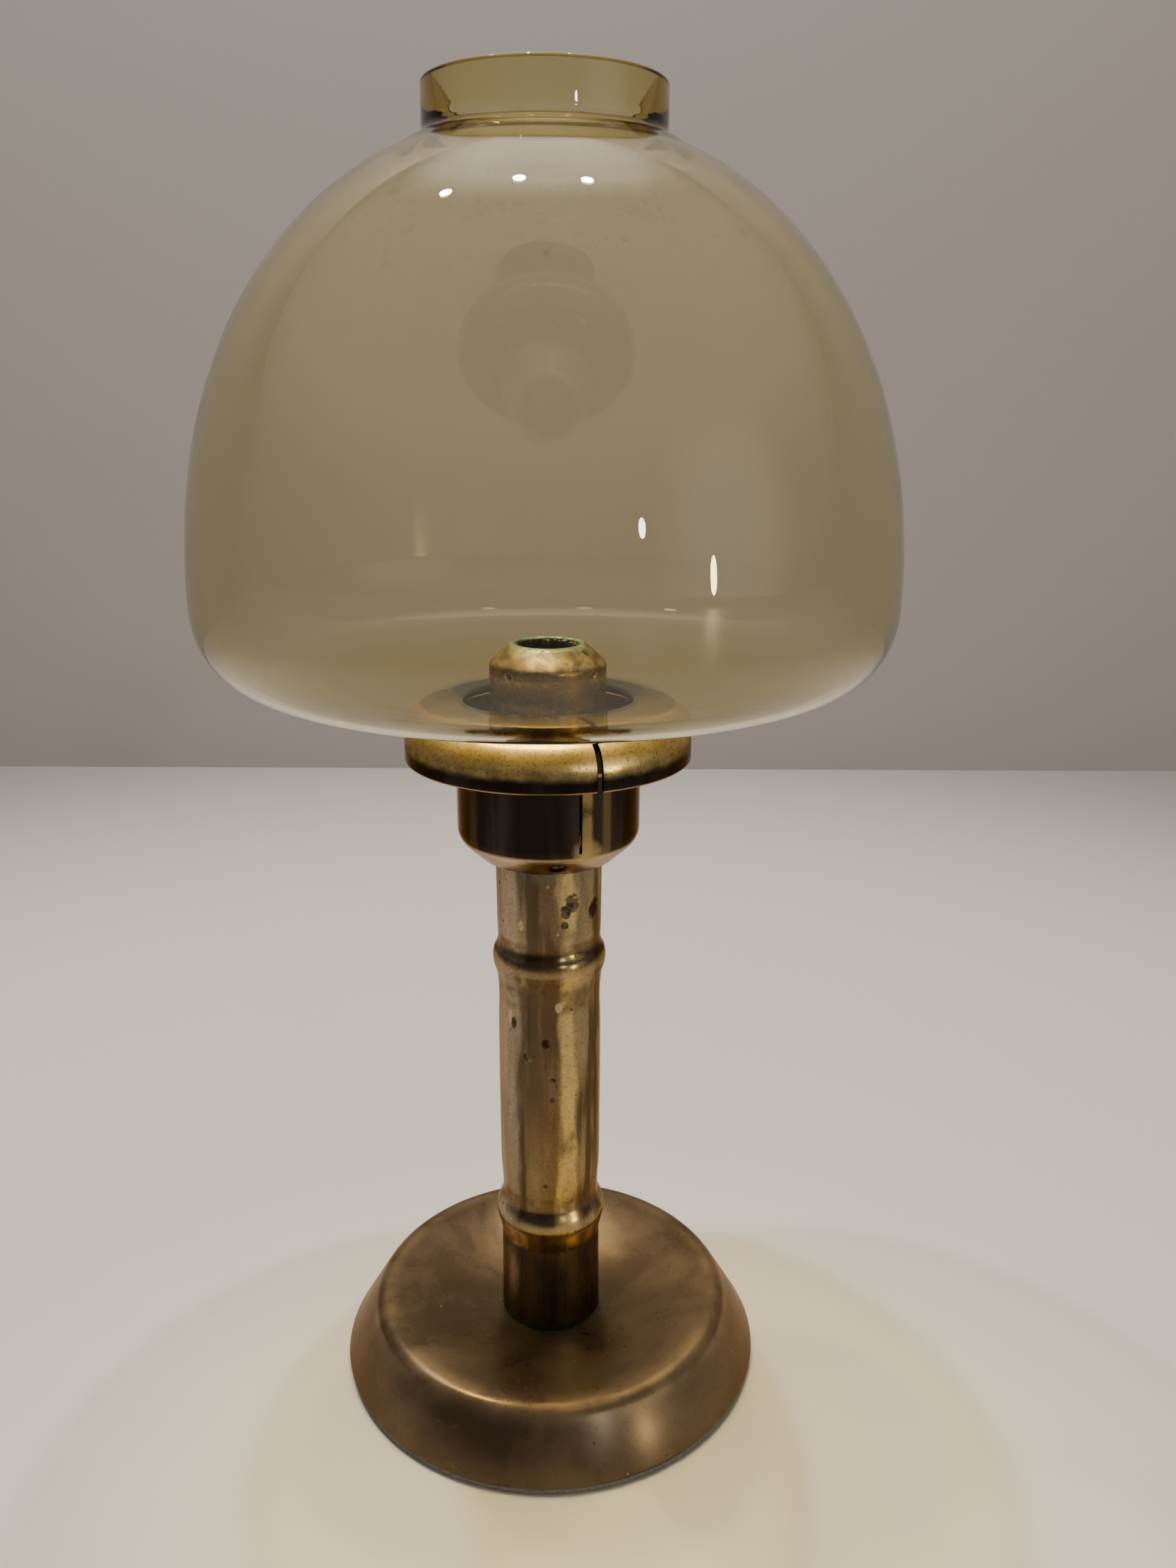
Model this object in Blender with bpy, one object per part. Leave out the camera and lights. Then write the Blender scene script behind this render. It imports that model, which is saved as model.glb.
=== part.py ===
"""A brass stem oil lamp with a blown glass shade, as an assembly of separate pieces.

The lamp's axis is Z. The origin is on the table, under the middle of the base, and the front is -Y.
Lengths and angles below are in millimetres and degrees, and turned() and the other builders turn
them into metres and radians. Heights are measured from a datum DATUM_LIFT above the table, which is
where the empty that carries every piece stands.
"""
import math

import bmesh
import bpy
from mathutils import Matrix, Vector

MM = 0.001
GAP = 0.3                       # clearance where two pieces touch

# Base
DATUM_LIFT = 0.6
FELT_R = 54.2
FELT_TOP = 0.9
FELT_BOTTOM = -DATUM_LIFT
BASE_RIM_R = 54.7
BASE_RIM_Z = FELT_TOP + GAP
BASE_EDGE = 0.5                 # rounding of the rim's lower edge
SHOULDER_MID = (43.6, 12.5)     # middle of the rounded shoulder's section
SHOULDER_R = 4.1
FLANK_ANGLE = 30.4              # where the shoulder passes into the straight skirt
DISH_CENTRE_Z = 11.15           # the top plate dips to this at the stem
DISH_HOLE_R = 5.6
SHEET = 1.0                     # thickness of the base's brass

# Weight and bolt inside the base
WEIGHT_GAP = 0.4
WEIGHT_R = 52.2
WELL_R = 9.5                    # counterbore for the bolt's head and washer
WELL_TOP = 5.9
WEIGHT_BORE_R = 3.3
WEIGHT_HUB_Z = 9.0
BOLT_HEAD = (5.8, 1.3, 4.3)     # corner radius, lower and upper height
BOLT_SHANK = (2.7, 15.6)        # radius, upper end
WASHER = (3.1, 8.5, 4.6, 5.6)   # inner and outer radius, lower and upper height

# Stem
STEM_BOTTOM = DISH_CENTRE_Z + GAP
STEM_TOP = 187.0
BORE_R = 11.5
NECK_R = 12.5                   # the tube's outside inside the holder and the cap
NECK_Z = 140.2
PLUG_TOP = 18.0
PLUG_SPIGOT = (5.3, 9.3)        # radius, lower end
PLUG_TAP = (3.0, 16.2)          # radius and top of the blind hole for the bolt
STEM_OUTLINE = (
    (13.05, STEM_BOTTOM), (12.95, 20.0), (12.85, 32.6), (12.85, 35.4),
    (13.45, 38.1), (14.0, 40.6), (14.0, 42.4), (13.6, 44.1), (12.6, 46.6), (12.4, 48.6),
    (12.55, 52.0), (12.85, 58.5), (12.92, 78.0), (12.9, 96.0), (12.7, 104.0),
    (13.1, 109.5), (13.85, 112.2), (14.08, 114.4), (13.75, 116.2), (13.15, 117.4), (12.72, 119.3),
    (12.85, 123.0), (12.96, 134.0), (12.96, NECK_Z),
)

# Shade holder
CUP_R = 22.0
CUP_WALL = 0.8
CUP_FOOT = (13.3, 139.9)
CUP_TAPER_LOW = (16.3, 140.85)  # where the taper passes into the nearly flat bottom
ELBOW_R = 4.9
ELBOW_Z = 148.3
TAPER_ANGLE = -47.0
FLANGE_R = 33.9
FLANGE_BOTTOM = 165.6
FLANGE_LIP_Z = 169.3
FLANGE_TOP = 176.3
FLANGE_FLAT_R = 28.0
MOUTH_ROUND = 1.0
SLIT_ANGLE = -69.0              # seen from above, from +X towards +Y
SLIT_FLANGE = 1.2
SLIT_WALL = 0.6
SLIT_BOTTOM = 147.9
VENT_R = 1.75
VENT_MID = (19.0, 143.35)
VENT_ANGLES = (-82.0, 8.0, 98.0, 188.0)
LOCK_RING = (12.8, 15.4, 144.6)  # inner and outer radius, top

# Glass shade
SHADE_WIDE_Z = 205.3
SHADE_R = 79.2
DOME_HEIGHT = 96.6
DOME_POWER = 2.14
CORNER_MID_R = 58.8
CORNER_HEIGHT = 20.45
CORNER_POWER = 2.36
FOOT_R = 34.0
SHADE_BOTTOM = FLANGE_TOP + GAP
SHADE_HOLE_R = 19.8
SHADE_FLOOR = 2.6
DOME_WALL = 2.2
COLLAR_R = 25.7
COLLAR_WALL = 2.9
COLLAR_FOOT_Z = 298.2
RIM_ROUND = 0.7
SHADE_TOP = 308.5

# Burner cap and its bayonet
CAP_R = 13.7
CAP_BORE_R = 12.85
CAP_BOTTOM = 168.0
CAP_OUTLINE = (
    (CAP_R, CAP_BOTTOM), (CAP_R, 187.0), (13.5, 187.8), (13.05, 188.4), (12.3, 189.15), (11.5, 189.9),
    (9.4, 191.85), (8.7, 192.3), (8.1, 192.45), (7.6, 192.4), (7.25, 192.05), (7.25, 191.3),
    (8.7, 191.3), (10.9, 189.25), (11.9, 188.3), (12.6, 187.4), (CAP_BORE_R, 186.6), (CAP_BORE_R, CAP_BOTTOM),
)
PIN_R = 1.0
PIN_Z = 172.5
PIN_REACH = (11.7, 13.5)
PIN_ANGLES = (90.0, -90.0)
SLOT_CLEAR = 0.35
CAP_TURN = 30.0

# Burner cartridge and spring
SPRING_R = 9.0
SPRING_WIRE_R = 0.6
SPRING_TURNS = 7
SPRING_ENDS = (PLUG_TOP + GAP, 58.2)
FOLLOWER = (11.0, 58.5, 60.5)
FOLLOWER_BOSS = (7.6, 54.5)
TANK_R = 10.7
TANK_WALL = 0.7
TANK_BOTTOM = 60.8
TANK_TOP = 176.0
GASKET = (8.6, 10.7, 176.3, 177.3)
LID_R = 11.0
LID_Z = (177.6, 179.4)
LID_SPIGOT = (8.2, 171.0)
LID_HOLE_R = 5.1
WICK_TUBE_R = 4.8
WICK_TUBE_BORE_R = 4.3
WICK_TUBE_Z = (166.0, 187.4)
WICK_COLLAR = (6.6, 179.7, 180.7)
WICK_R = 4.0
WICK_Z = (65.0, 189.0)

LAMP = "lamp"                   # the empty that carries every piece

# How finely round things are divided
BIG = 40
MEDIUM = 32
SMALL = 20


def material(name, colour, metallic, roughness, transmission=0.0):
    made = bpy.data.materials.new(name)
    made.use_nodes = True
    shader = made.node_tree.nodes["Principled BSDF"]
    shader.inputs["Base Color"].default_value = (*colour, 1.0)
    shader.inputs["Metallic"].default_value = metallic
    shader.inputs["Roughness"].default_value = roughness
    shader.inputs["Transmission Weight"].default_value = transmission
    return made


def finish(mesh_builder, name, surface):
    """Turn a bmesh into a named object, closed and facing outwards."""
    bmesh.ops.remove_doubles(mesh_builder, verts=mesh_builder.verts, dist=1e-6)
    bmesh.ops.recalc_face_normals(mesh_builder, faces=mesh_builder.faces)
    mesh = bpy.data.meshes.new(name)
    mesh_builder.to_mesh(mesh)
    mesh_builder.free()
    mesh.materials.append(surface)
    mesh.shade_smooth()
    mesh.set_sharp_from_angle(angle=math.radians(35.0))
    thing = bpy.data.objects.new(name, mesh)
    bpy.context.scene.collection.objects.link(thing)
    thing.parent = bpy.data.objects[LAMP]
    return thing


def turned(name, outline, surface, segments=MEDIUM):
    """Spin a closed outline of (radius, height) points about Z.

    An outline whose first and last points are on the axis makes a solid of revolution.
    """
    shape = bmesh.new()
    points = [shape.verts.new((radius * MM, 0.0, height * MM)) for radius, height in outline]
    edges = [shape.edges.new(pair) for pair in zip(points, points[1:])]
    if outline[0][0] > 0.0:
        edges.append(shape.edges.new((points[-1], points[0])))
    bmesh.ops.spin(shape, geom=points + edges, cent=(0.0, 0.0, 0.0), axis=(0.0, 0.0, 1.0),
                   angle=math.tau, steps=segments, use_merge=True, use_duplicate=False)
    return finish(shape, name, surface)


def arc(middle, radius, start, end, steps):
    """Points on a circular or, with a pair of radii, an elliptical arc in the (radius, height) plane."""
    across, up = radius if isinstance(radius, tuple) else (radius, radius)
    points = []
    for step in range(steps + 1):
        angle = math.radians(start + (end - start) * step / steps)
        points.append((middle[0] + across * math.cos(angle), middle[1] + up * math.sin(angle)))
    return points


def superellipse(middle_r, reach, height, power, start, end, steps):
    """Points on a superellipse about (middle_r, SHADE_WIDE_Z), between two angles in degrees."""
    points = []
    for step in range(steps + 1):
        angle = math.radians(start + (end - start) * step / steps)
        across = abs(math.cos(angle)) ** (2.0 / power)
        up = math.copysign(abs(math.sin(angle)) ** (2.0 / power), math.sin(angle))
        points.append((middle_r + reach * across, SHADE_WIDE_Z + height * up))
    return points


def inset(outline, depth):
    """An open outline moved sideways, to the left of its direction of travel."""
    moved = []
    for index, point in enumerate(outline):
        before = Vector(outline[max(index - 1, 0)])
        after = Vector(outline[min(index + 1, len(outline) - 1)])
        along = (after - before).normalized()
        moved.append((point[0] - along.y * depth, point[1] + along.x * depth))
    return moved


def cut(target, cutter):
    """Keep the cutter as a hidden guide and subtract it from the target."""
    cutter.hide_render = True
    cutter.display_type = "WIRE"
    modifier = target.modifiers.new("cut_" + cutter.name, "BOOLEAN")
    modifier.operation = "DIFFERENCE"
    modifier.solver = "EXACT"
    modifier.object = cutter


def block(name, size, middle, angle, surface):
    """A box whose length runs outwards from the axis, at an angle round it."""
    shape = bmesh.new()
    bmesh.ops.create_cube(shape, size=1.0)
    bmesh.ops.scale(shape, vec=[length * MM for length in size], verts=shape.verts)
    made = finish(shape, name, surface)
    turn = Matrix.Rotation(math.radians(angle), 4, "Z")
    made.matrix_basis = turn @ Matrix.Translation([part * MM for part in middle])
    return made


def rod(name, radius, length, segments, surface):
    """A cylinder along local Z, centred on its own origin."""
    shape = bmesh.new()
    bmesh.ops.create_cone(shape, cap_ends=True, segments=segments, radius1=radius * MM,
                          radius2=radius * MM, depth=length * MM)
    return finish(shape, name, surface)


def dish_height(radius):
    """Height of the base's top plate, which dips smoothly from the shoulder to the stem."""
    crest_r = SHOULDER_MID[0]
    crest_z = SHOULDER_MID[1] + SHOULDER_R
    share = max(0.0, (radius - BORE_R) / (crest_r - BORE_R))
    return DISH_CENTRE_Z + (crest_z - DISH_CENTRE_Z) * (1.0 - math.cos(math.pi * share)) / 2.0


def dish_line(radii, below=0.0):
    return [(radius, dish_height(radius) - below) for radius in radii]


def base_dish(surface):
    plate = dish_line((DISH_HOLE_R, 13.0, 20.0, 28.0, 36.0, 40.5))
    shoulder = arc(SHOULDER_MID, SHOULDER_R, 90.0, FLANK_ANGLE, 4)
    rim = arc((BASE_RIM_R - BASE_EDGE, BASE_RIM_Z + BASE_EDGE), BASE_EDGE, 20.0, -90.0, 2)
    under_plate = dish_line((36.0, 28.0, 20.0, DISH_HOLE_R), SHEET)
    under_shoulder = arc(SHOULDER_MID, SHOULDER_R - SHEET, FLANK_ANGLE, 90.0, 2)
    inner_rim = [(BASE_RIM_R - SHEET, BASE_RIM_Z)]
    outline = plate + shoulder + rim + inner_rim + under_shoulder + under_plate
    return turned("base_dish", outline, surface, BIG)


def base_weight(surface):
    below = SHEET + WEIGHT_GAP
    plate = dish_line((13.0, 20.0, 28.0, 36.0), below)
    shoulder = arc(SHOULDER_MID, SHOULDER_R - below, 90.0, FLANK_ANGLE, 2)
    bottom = BASE_RIM_Z + 0.1
    outline = (
        [(WEIGHT_BORE_R, WEIGHT_HUB_Z), (7.0, WEIGHT_HUB_Z)] + plate + shoulder
        + [(WEIGHT_R, bottom + 1.5), (WEIGHT_R - 0.8, bottom), (WELL_R, bottom), (WELL_R, WELL_TOP),
           (WEIGHT_BORE_R, WELL_TOP)]
    )
    return turned("base_weight", outline, surface, BIG)


def base_felt(surface):
    soft_edge = 0.2
    outline = [(0.0, FELT_TOP), (FELT_R - soft_edge, FELT_TOP), (FELT_R, FELT_TOP - soft_edge),
               (FELT_R, FELT_BOTTOM + soft_edge), (FELT_R - soft_edge, FELT_BOTTOM), (0.0, FELT_BOTTOM)]
    return turned("base_felt", outline, surface, BIG)


def clamp_bolt(surface):
    corner, low, high = BOLT_HEAD
    shank, top = BOLT_SHANK
    bolt = turned("clamp_bolt", [(0.0, top), (shank - 0.5, top), (shank, top - 0.6), (shank, high),
                                 (corner, high), (corner, low), (0.0, low)], surface, 12)
    across_flats = corner * 2.0 * math.cos(math.radians(30.0))
    reach = 4.0 * corner
    for index in range(6):
        middle = (across_flats / 2.0 + reach / 2.0, 0.0, (low + high) / 2.0)
        size = (reach, reach, 3.0 * (high - low))
        flat = block(f"hex_flat_{index}", size, middle, 60.0 * index + 30.0, surface)
        cut(bolt, flat)
    return bolt


def stem_tube(surface, cutter_surface):
    outline = list(reversed(STEM_OUTLINE))
    outline = [(BORE_R, STEM_TOP), (NECK_R - 0.3, STEM_TOP), (NECK_R, STEM_TOP - 0.3), (NECK_R, NECK_Z)] + outline
    outline.append((BORE_R, STEM_BOTTOM))
    tube = turned("stem_tube", outline, surface, MEDIUM)
    for index, angle in enumerate(PIN_ANGLES):
        hole = rod(f"pin_hole_{index}", PIN_R + GAP, 4.0, 12, cutter_surface)
        hole.matrix_basis = radial_place(angle, (BORE_R + NECK_R) / 2.0, PIN_Z)
        cut(tube, hole)
    return tube


def radial_place(angle, distance, height, tilt=90.0):
    """Where a piece made along Z goes to point outwards, at an angle round the axis."""
    turn = Matrix.Rotation(math.radians(angle), 4, "Z")
    lean = Matrix.Rotation(math.radians(tilt), 4, "Y")
    return turn @ Matrix.Translation((distance * MM, 0.0, height * MM)) @ lean


def bayonet_pins(surface):
    inner, outer = PIN_REACH
    for name, angle in zip(("bayonet_pin_back", "bayonet_pin_front"), PIN_ANGLES):
        pin = rod(name, PIN_R, outer - inner, 12, surface)
        pin.matrix_basis = radial_place(angle, (inner + outer) / 2.0, PIN_Z)


def stem_plug(surface):
    spigot_r, spigot_low = PLUG_SPIGOT
    tap_r, tap_top = PLUG_TAP
    plug_r = BORE_R - GAP
    seat = STEM_BOTTOM
    outline = [(0.0, PLUG_TOP), (plug_r - 0.5, PLUG_TOP), (plug_r, PLUG_TOP - 0.5), (plug_r, seat),
               (spigot_r, seat), (spigot_r, spigot_low), (tap_r, spigot_low), (tap_r, tap_top),
               (0.0, tap_top)]
    return turned("stem_plug", outline, surface, 24)


def shade_holder(surface, cutter_surface):
    """One pressing: the cup's taper and wall, then the flange's flat top, round edge and lip."""
    inner_cup_r = CUP_R - CUP_WALL
    drop = FLANGE_TOP - FLANGE_LIP_Z
    run = FLANGE_R - FLANGE_FLAT_R
    elbow_middle = (CUP_R - ELBOW_R, ELBOW_Z)
    inside_elbow = arc(elbow_middle, ELBOW_R - CUP_WALL, 0.0, TAPER_ANGLE, 3)
    outline = [CUP_FOOT, CUP_TAPER_LOW] + arc(elbow_middle, ELBOW_R, TAPER_ANGLE, 0.0, 4)
    outline += arc((CUP_R + MOUTH_ROUND, FLANGE_TOP - CUP_WALL - MOUTH_ROUND), MOUTH_ROUND, 180.0, 90.0, 2)
    outline += arc((FLANGE_FLAT_R, FLANGE_LIP_Z), (run - CUP_WALL, drop - CUP_WALL), 90.0, 0.0, 4)
    outline += [(FLANGE_R - CUP_WALL, FLANGE_BOTTOM), (FLANGE_R, FLANGE_BOTTOM)]
    outline += arc((FLANGE_FLAT_R, FLANGE_LIP_Z), (run, drop), 0.0, 90.0, 5)
    outline += arc((inner_cup_r + MOUTH_ROUND, FLANGE_TOP - MOUTH_ROUND), MOUTH_ROUND, 90.0, 180.0, 2)
    outline += inside_elbow
    outline.append((CUP_TAPER_LOW[0] - 0.3, CUP_TAPER_LOW[1] + CUP_WALL))
    outline.append((LOCK_RING[0], CUP_FOOT[1] + CUP_WALL))
    holder = turned("shade_holder", outline, surface, BIG)
    for index, angle in enumerate(VENT_ANGLES):
        vent = rod(f"vent_cutter_{index}", VENT_R, 8.0, 12, cutter_surface)
        vent.matrix_basis = radial_place(angle, VENT_MID[0], VENT_MID[1], 135.0)
        cut(holder, vent)
    flange_height = 2.0 * (FLANGE_TOP - FLANGE_BOTTOM)
    flange_slit = block("flange_slit", (14.0, SLIT_FLANGE, flange_height),
                        (CUP_R + 7.0, 0.0, FLANGE_BOTTOM - 1.0 + flange_height / 2.0), SLIT_ANGLE, cutter_surface)
    cut(holder, flange_slit)
    wall_height = FLANGE_TOP + 5.0 - SLIT_BOTTOM
    wall_slit = block("wall_slit", (10.0, SLIT_WALL, wall_height),
                      (CUP_R - 2.0, 0.0, SLIT_BOTTOM + wall_height / 2.0), SLIT_ANGLE, cutter_surface)
    cut(holder, wall_slit)
    return holder


def holder_lock_ring(surface):
    inner, outer, top = LOCK_RING
    seat = CUP_FOOT[1] + CUP_WALL + GAP
    outline = [(inner, top), (outer, top), (outer, seat + 1.0), (inner, seat)]
    return turned("holder_lock_ring", outline, surface, MEDIUM)


def shade_outside():
    """The shade's outside, from the collar's foot down over the dome to the foot on the flange."""
    dome = superellipse(0.0, SHADE_R, DOME_HEIGHT, DOME_POWER, 68.5, 0.0, 10)
    corner = superellipse(CORNER_MID_R, SHADE_R - CORNER_MID_R, CORNER_HEIGHT, CORNER_POWER, -18.0, -71.0, 4)
    return dome + corner + [(FOOT_R, SHADE_BOTTOM)]


def glass_shade(surface):
    outside = shade_outside()
    wall = inset(outside[:-1], -DOME_WALL)
    rim_z = SHADE_TOP - RIM_ROUND
    rim = arc((COLLAR_R - COLLAR_WALL + RIM_ROUND, rim_z), RIM_ROUND, 180.0, 90.0, 2)
    rim += arc((COLLAR_R - RIM_ROUND, rim_z), RIM_ROUND, 90.0, 0.0, 2)
    floor = [(FOOT_R - 1.0, SHADE_BOTTOM + SHADE_FLOOR)]
    edge = arc((SHADE_HOLE_R + SHADE_FLOOR / 2.0, SHADE_BOTTOM + SHADE_FLOOR / 2.0), SHADE_FLOOR / 2.0,
               -90.0, -270.0, 3)
    collar_inner = [(COLLAR_R - COLLAR_WALL, COLLAR_FOOT_Z - 1.5)]
    outline = rim + [(COLLAR_R, COLLAR_FOOT_Z)] + outside + edge
    outline += floor + list(reversed(wall))[:-1] + collar_inner
    return turned("glass_shade", outline, surface, BIG)


def burner_cap(surface, cutter_surface):
    """The cap, with an L-shaped bayonet slot for each pin cut in its skirt."""
    cap = turned("burner_cap", list(CAP_OUTLINE), surface, MEDIUM)
    half = PIN_R + SLOT_CLEAR
    skirt_mid = (CAP_BORE_R + CAP_R) / 2.0
    for index, angle in enumerate(PIN_ANGLES):
        leg_height = PIN_Z + half - CAP_BOTTOM + 3.0
        leg = block(f"slot_leg_{index}", (4.0, 2.0 * half, leg_height),
                    (skirt_mid, 0.0, PIN_Z + half - leg_height / 2.0), angle, cutter_surface)
        cut(cap, leg)
        cross = sector(f"slot_cross_{index}", skirt_mid - 2.0, skirt_mid + 2.0, PIN_Z - half, PIN_Z + half,
                       angle - CAP_TURN, angle, half, cutter_surface)
        cut(cap, cross)
    return cap


def sector(name, inner, outer, low, high, start, end, margin, surface):
    """A piece of a ring between two angles, run on by a margin at its start."""
    extra = math.degrees(margin / inner)
    steps = 5
    shape = bmesh.new()
    rings = []
    for step in range(steps + 1):
        angle = math.radians(start - extra + (end - start + extra) * step / steps)
        corners = ((inner, low), (outer, low), (outer, high), (inner, high))
        rings.append([shape.verts.new((radius * MM * math.cos(angle), radius * MM * math.sin(angle), height * MM))
                      for radius, height in corners])
    for before, after in zip(rings, rings[1:]):
        for side in range(4):
            following = (side + 1) % 4
            shape.faces.new((before[side], before[following], after[following], after[side]))
    shape.faces.new(rings[0])
    shape.faces.new(rings[-1])
    return finish(shape, name, surface)


def spring(surface):
    """The coil's wire, swept along a helix whose end turns lie flat."""
    low, high = SPRING_ENDS
    steps_per_turn = 12
    sides = 5
    steps = SPRING_TURNS * steps_per_turn
    shape = bmesh.new()
    rings = []
    for step in range(steps + 1):
        share = step / steps
        angle = math.tau * SPRING_TURNS * share
        eased = min(max((share * SPRING_TURNS - 0.75) / (SPRING_TURNS - 1.5), 0.0), 1.0)
        closed = SPRING_WIRE_R * 2.3 * (min(share * SPRING_TURNS, 0.75) + max(share * SPRING_TURNS
                                                                           - SPRING_TURNS + 0.75, 0.0))
        rise = high - low - 2.0 * SPRING_WIRE_R - SPRING_WIRE_R * 2.3 * 1.5
        height = low + SPRING_WIRE_R + closed + rise * eased
        ring = []
        for side in range(sides):
            turn = math.tau * side / sides
            radius = SPRING_R + SPRING_WIRE_R * math.cos(turn)
            ring.append(shape.verts.new((radius * MM * math.cos(angle), radius * MM * math.sin(angle),
                                         (height + SPRING_WIRE_R * math.sin(turn)) * MM)))
        rings.append(ring)
    for before, after in zip(rings, rings[1:]):
        for side in range(sides):
            following = (side + 1) % sides
            shape.faces.new((before[side], before[following], after[following], after[side]))
    shape.faces.new(rings[0])
    shape.faces.new(rings[-1])
    return finish(shape, "spring", surface)


def cartridge(steel, tin, rubber, brass, cotton):
    """What drops into the stem: follower, tank, gasket, lid, wick tube and wick."""
    radius, low, high = FOLLOWER
    boss_r, boss_low = FOLLOWER_BOSS
    turned("spring_follower", [(0.0, high), (radius - 0.4, high), (radius, high - 0.4), (radius, low),
                               (boss_r, low), (boss_r, boss_low + 0.5), (boss_r - 0.5, boss_low),
                               (0.0, boss_low)], steel, 24)
    inner = TANK_R - TANK_WALL
    turned("oil_tank", [(0.0, TANK_BOTTOM + TANK_WALL), (inner, TANK_BOTTOM + TANK_WALL), (inner, TANK_TOP),
                        (TANK_R, TANK_TOP), (TANK_R, TANK_BOTTOM + 0.8), (TANK_R - 0.8, TANK_BOTTOM),
                        (0.0, TANK_BOTTOM)], tin, 24)
    inner, outer, low, high = GASKET
    turned("tank_gasket", [(inner, high), (outer, high), (outer, low), (inner, low)], rubber, 24)
    low, high = LID_Z
    spigot_r, spigot_low = LID_SPIGOT
    turned("tank_lid", [(LID_HOLE_R, high), (LID_R - 0.5, high), (LID_R, high - 0.5), (LID_R, low),
                        (spigot_r, low), (spigot_r, spigot_low), (LID_HOLE_R, spigot_low)], brass, 24)
    low, high = WICK_TUBE_Z
    collar_r, collar_low, collar_high = WICK_COLLAR
    turned("wick_tube", [(WICK_TUBE_BORE_R, high), (WICK_TUBE_R, high), (WICK_TUBE_R, collar_high),
                         (collar_r, collar_high), (collar_r, collar_low), (WICK_TUBE_R, collar_low),
                         (WICK_TUBE_R, low), (WICK_TUBE_BORE_R, low)], brass, SMALL)
    low, high = WICK_Z
    turned("wick", [(0.0, high), (WICK_R - 0.6, high), (WICK_R, high - 0.6), (WICK_R, low), (0.0, low)],
           cotton, SMALL)


def main():
    for old in list(bpy.data.objects):
        bpy.data.objects.remove(old, do_unlink=True)
    lamp = bpy.data.objects.new(LAMP, None)
    lamp.location = (0.0, 0.0, DATUM_LIFT * MM)
    bpy.context.scene.collection.objects.link(lamp)
    bronze = material("patinated_brass", (0.24, 0.15, 0.07), 1.0, 0.34)
    brass = material("aged_brass", (0.42, 0.29, 0.11), 1.0, 0.26)
    dark_brass = material("dark_brass", (0.16, 0.10, 0.045), 1.0, 0.22)
    glass = material("smoky_amber_glass", (0.72, 0.60, 0.34), 0.0, 0.03, 1.0)
    iron = material("cast_iron", (0.06, 0.06, 0.06), 0.6, 0.7)
    steel = material("steel", (0.55, 0.55, 0.56), 1.0, 0.35)
    tin = material("tinplate", (0.62, 0.62, 0.60), 1.0, 0.3)
    rubber = material("black_rubber", (0.03, 0.03, 0.03), 0.0, 0.6)
    felt = material("grey_felt", (0.20, 0.19, 0.18), 0.0, 0.95)
    cotton = material("charred_wick", (0.55, 0.50, 0.42), 0.0, 0.95)
    base_dish(bronze)
    base_weight(iron)
    base_felt(felt)
    clamp_bolt(steel)
    washer_in, washer_out, washer_low, washer_high = WASHER
    turned("clamp_washer", [(washer_in, washer_high), (washer_out, washer_high), (washer_out, washer_low),
                            (washer_in, washer_low)], steel, SMALL)
    stem_tube(brass, steel)
    stem_plug(steel)
    bayonet_pins(steel)
    shade_holder(dark_brass, steel)
    holder_lock_ring(brass)
    glass_shade(glass)
    burner_cap(brass, steel)
    spring(steel)
    cartridge(steel, tin, rubber, brass, cotton)


main()
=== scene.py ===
"""Looks of a brass oil lamp with a smoky glass shade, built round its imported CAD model.

Outlines are lists of (radius, height) in millimetres, and heights are measured from the CAD model's
datum, as in the CAD model itself. The lamp's axis is Z and its front is -Y.
"""
import math

import bmesh
import bpy
import mathutils
from mathutils import Matrix, Vector


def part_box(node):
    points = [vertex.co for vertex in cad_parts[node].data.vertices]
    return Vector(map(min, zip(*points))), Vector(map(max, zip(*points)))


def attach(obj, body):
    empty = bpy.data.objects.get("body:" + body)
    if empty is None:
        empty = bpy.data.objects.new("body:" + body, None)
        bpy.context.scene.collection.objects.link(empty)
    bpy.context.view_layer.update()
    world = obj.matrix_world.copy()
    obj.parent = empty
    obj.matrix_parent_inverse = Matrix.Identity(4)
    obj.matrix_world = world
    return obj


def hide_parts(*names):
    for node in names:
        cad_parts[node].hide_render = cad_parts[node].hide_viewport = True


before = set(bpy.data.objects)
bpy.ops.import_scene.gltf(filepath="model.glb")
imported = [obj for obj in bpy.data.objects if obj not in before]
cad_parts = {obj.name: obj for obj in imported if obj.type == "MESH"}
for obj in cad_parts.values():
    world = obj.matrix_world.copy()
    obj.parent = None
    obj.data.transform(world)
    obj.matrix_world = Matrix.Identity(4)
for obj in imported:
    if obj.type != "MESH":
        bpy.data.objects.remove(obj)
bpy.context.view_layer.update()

MM = 0.001
FINE = 240                      # segments round a large turned piece
MEDIUM = 160
SMALL = 96
SHARP = 35.0                    # edges bent more than this many degrees are drawn sharp


def reach(node):
    """A turned CAD node's radius, and its lowest and highest point, in millimetres."""
    low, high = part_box(node)
    return high.x / MM, low.z / MM, high.z / MM


# Sizes read from the frame
SHADE_R, SHADE_LOW, SHADE_HIGH = reach("glass_shade")
FELT_R, FELT_LOW, FELT_HIGH = reach("base_felt")
RIM_R, RIM_LOW, _ = reach("base_dish")
FLANGE_R, _, HOLDER_HIGH = reach("shade_holder")
CAP_R, CAP_LOW, CAP_HIGH = reach("burner_cap")
WICK_R, WICK_LOW, WICK_HIGH = reach("wick")

DATUM = 0.6                     # height of the CAD model's datum above the table
SHEET = 1.0

# Base dish
SHOULDER_MID = (43.6, 12.5)
SHOULDER_R = 4.1
FLANK_ANGLE = 30.4
DISH_CENTRE_Z = 11.15
DISH_DIP_R = 11.5
DISH_HOLE_R = 5.6
EDGE_R = 0.5

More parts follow.
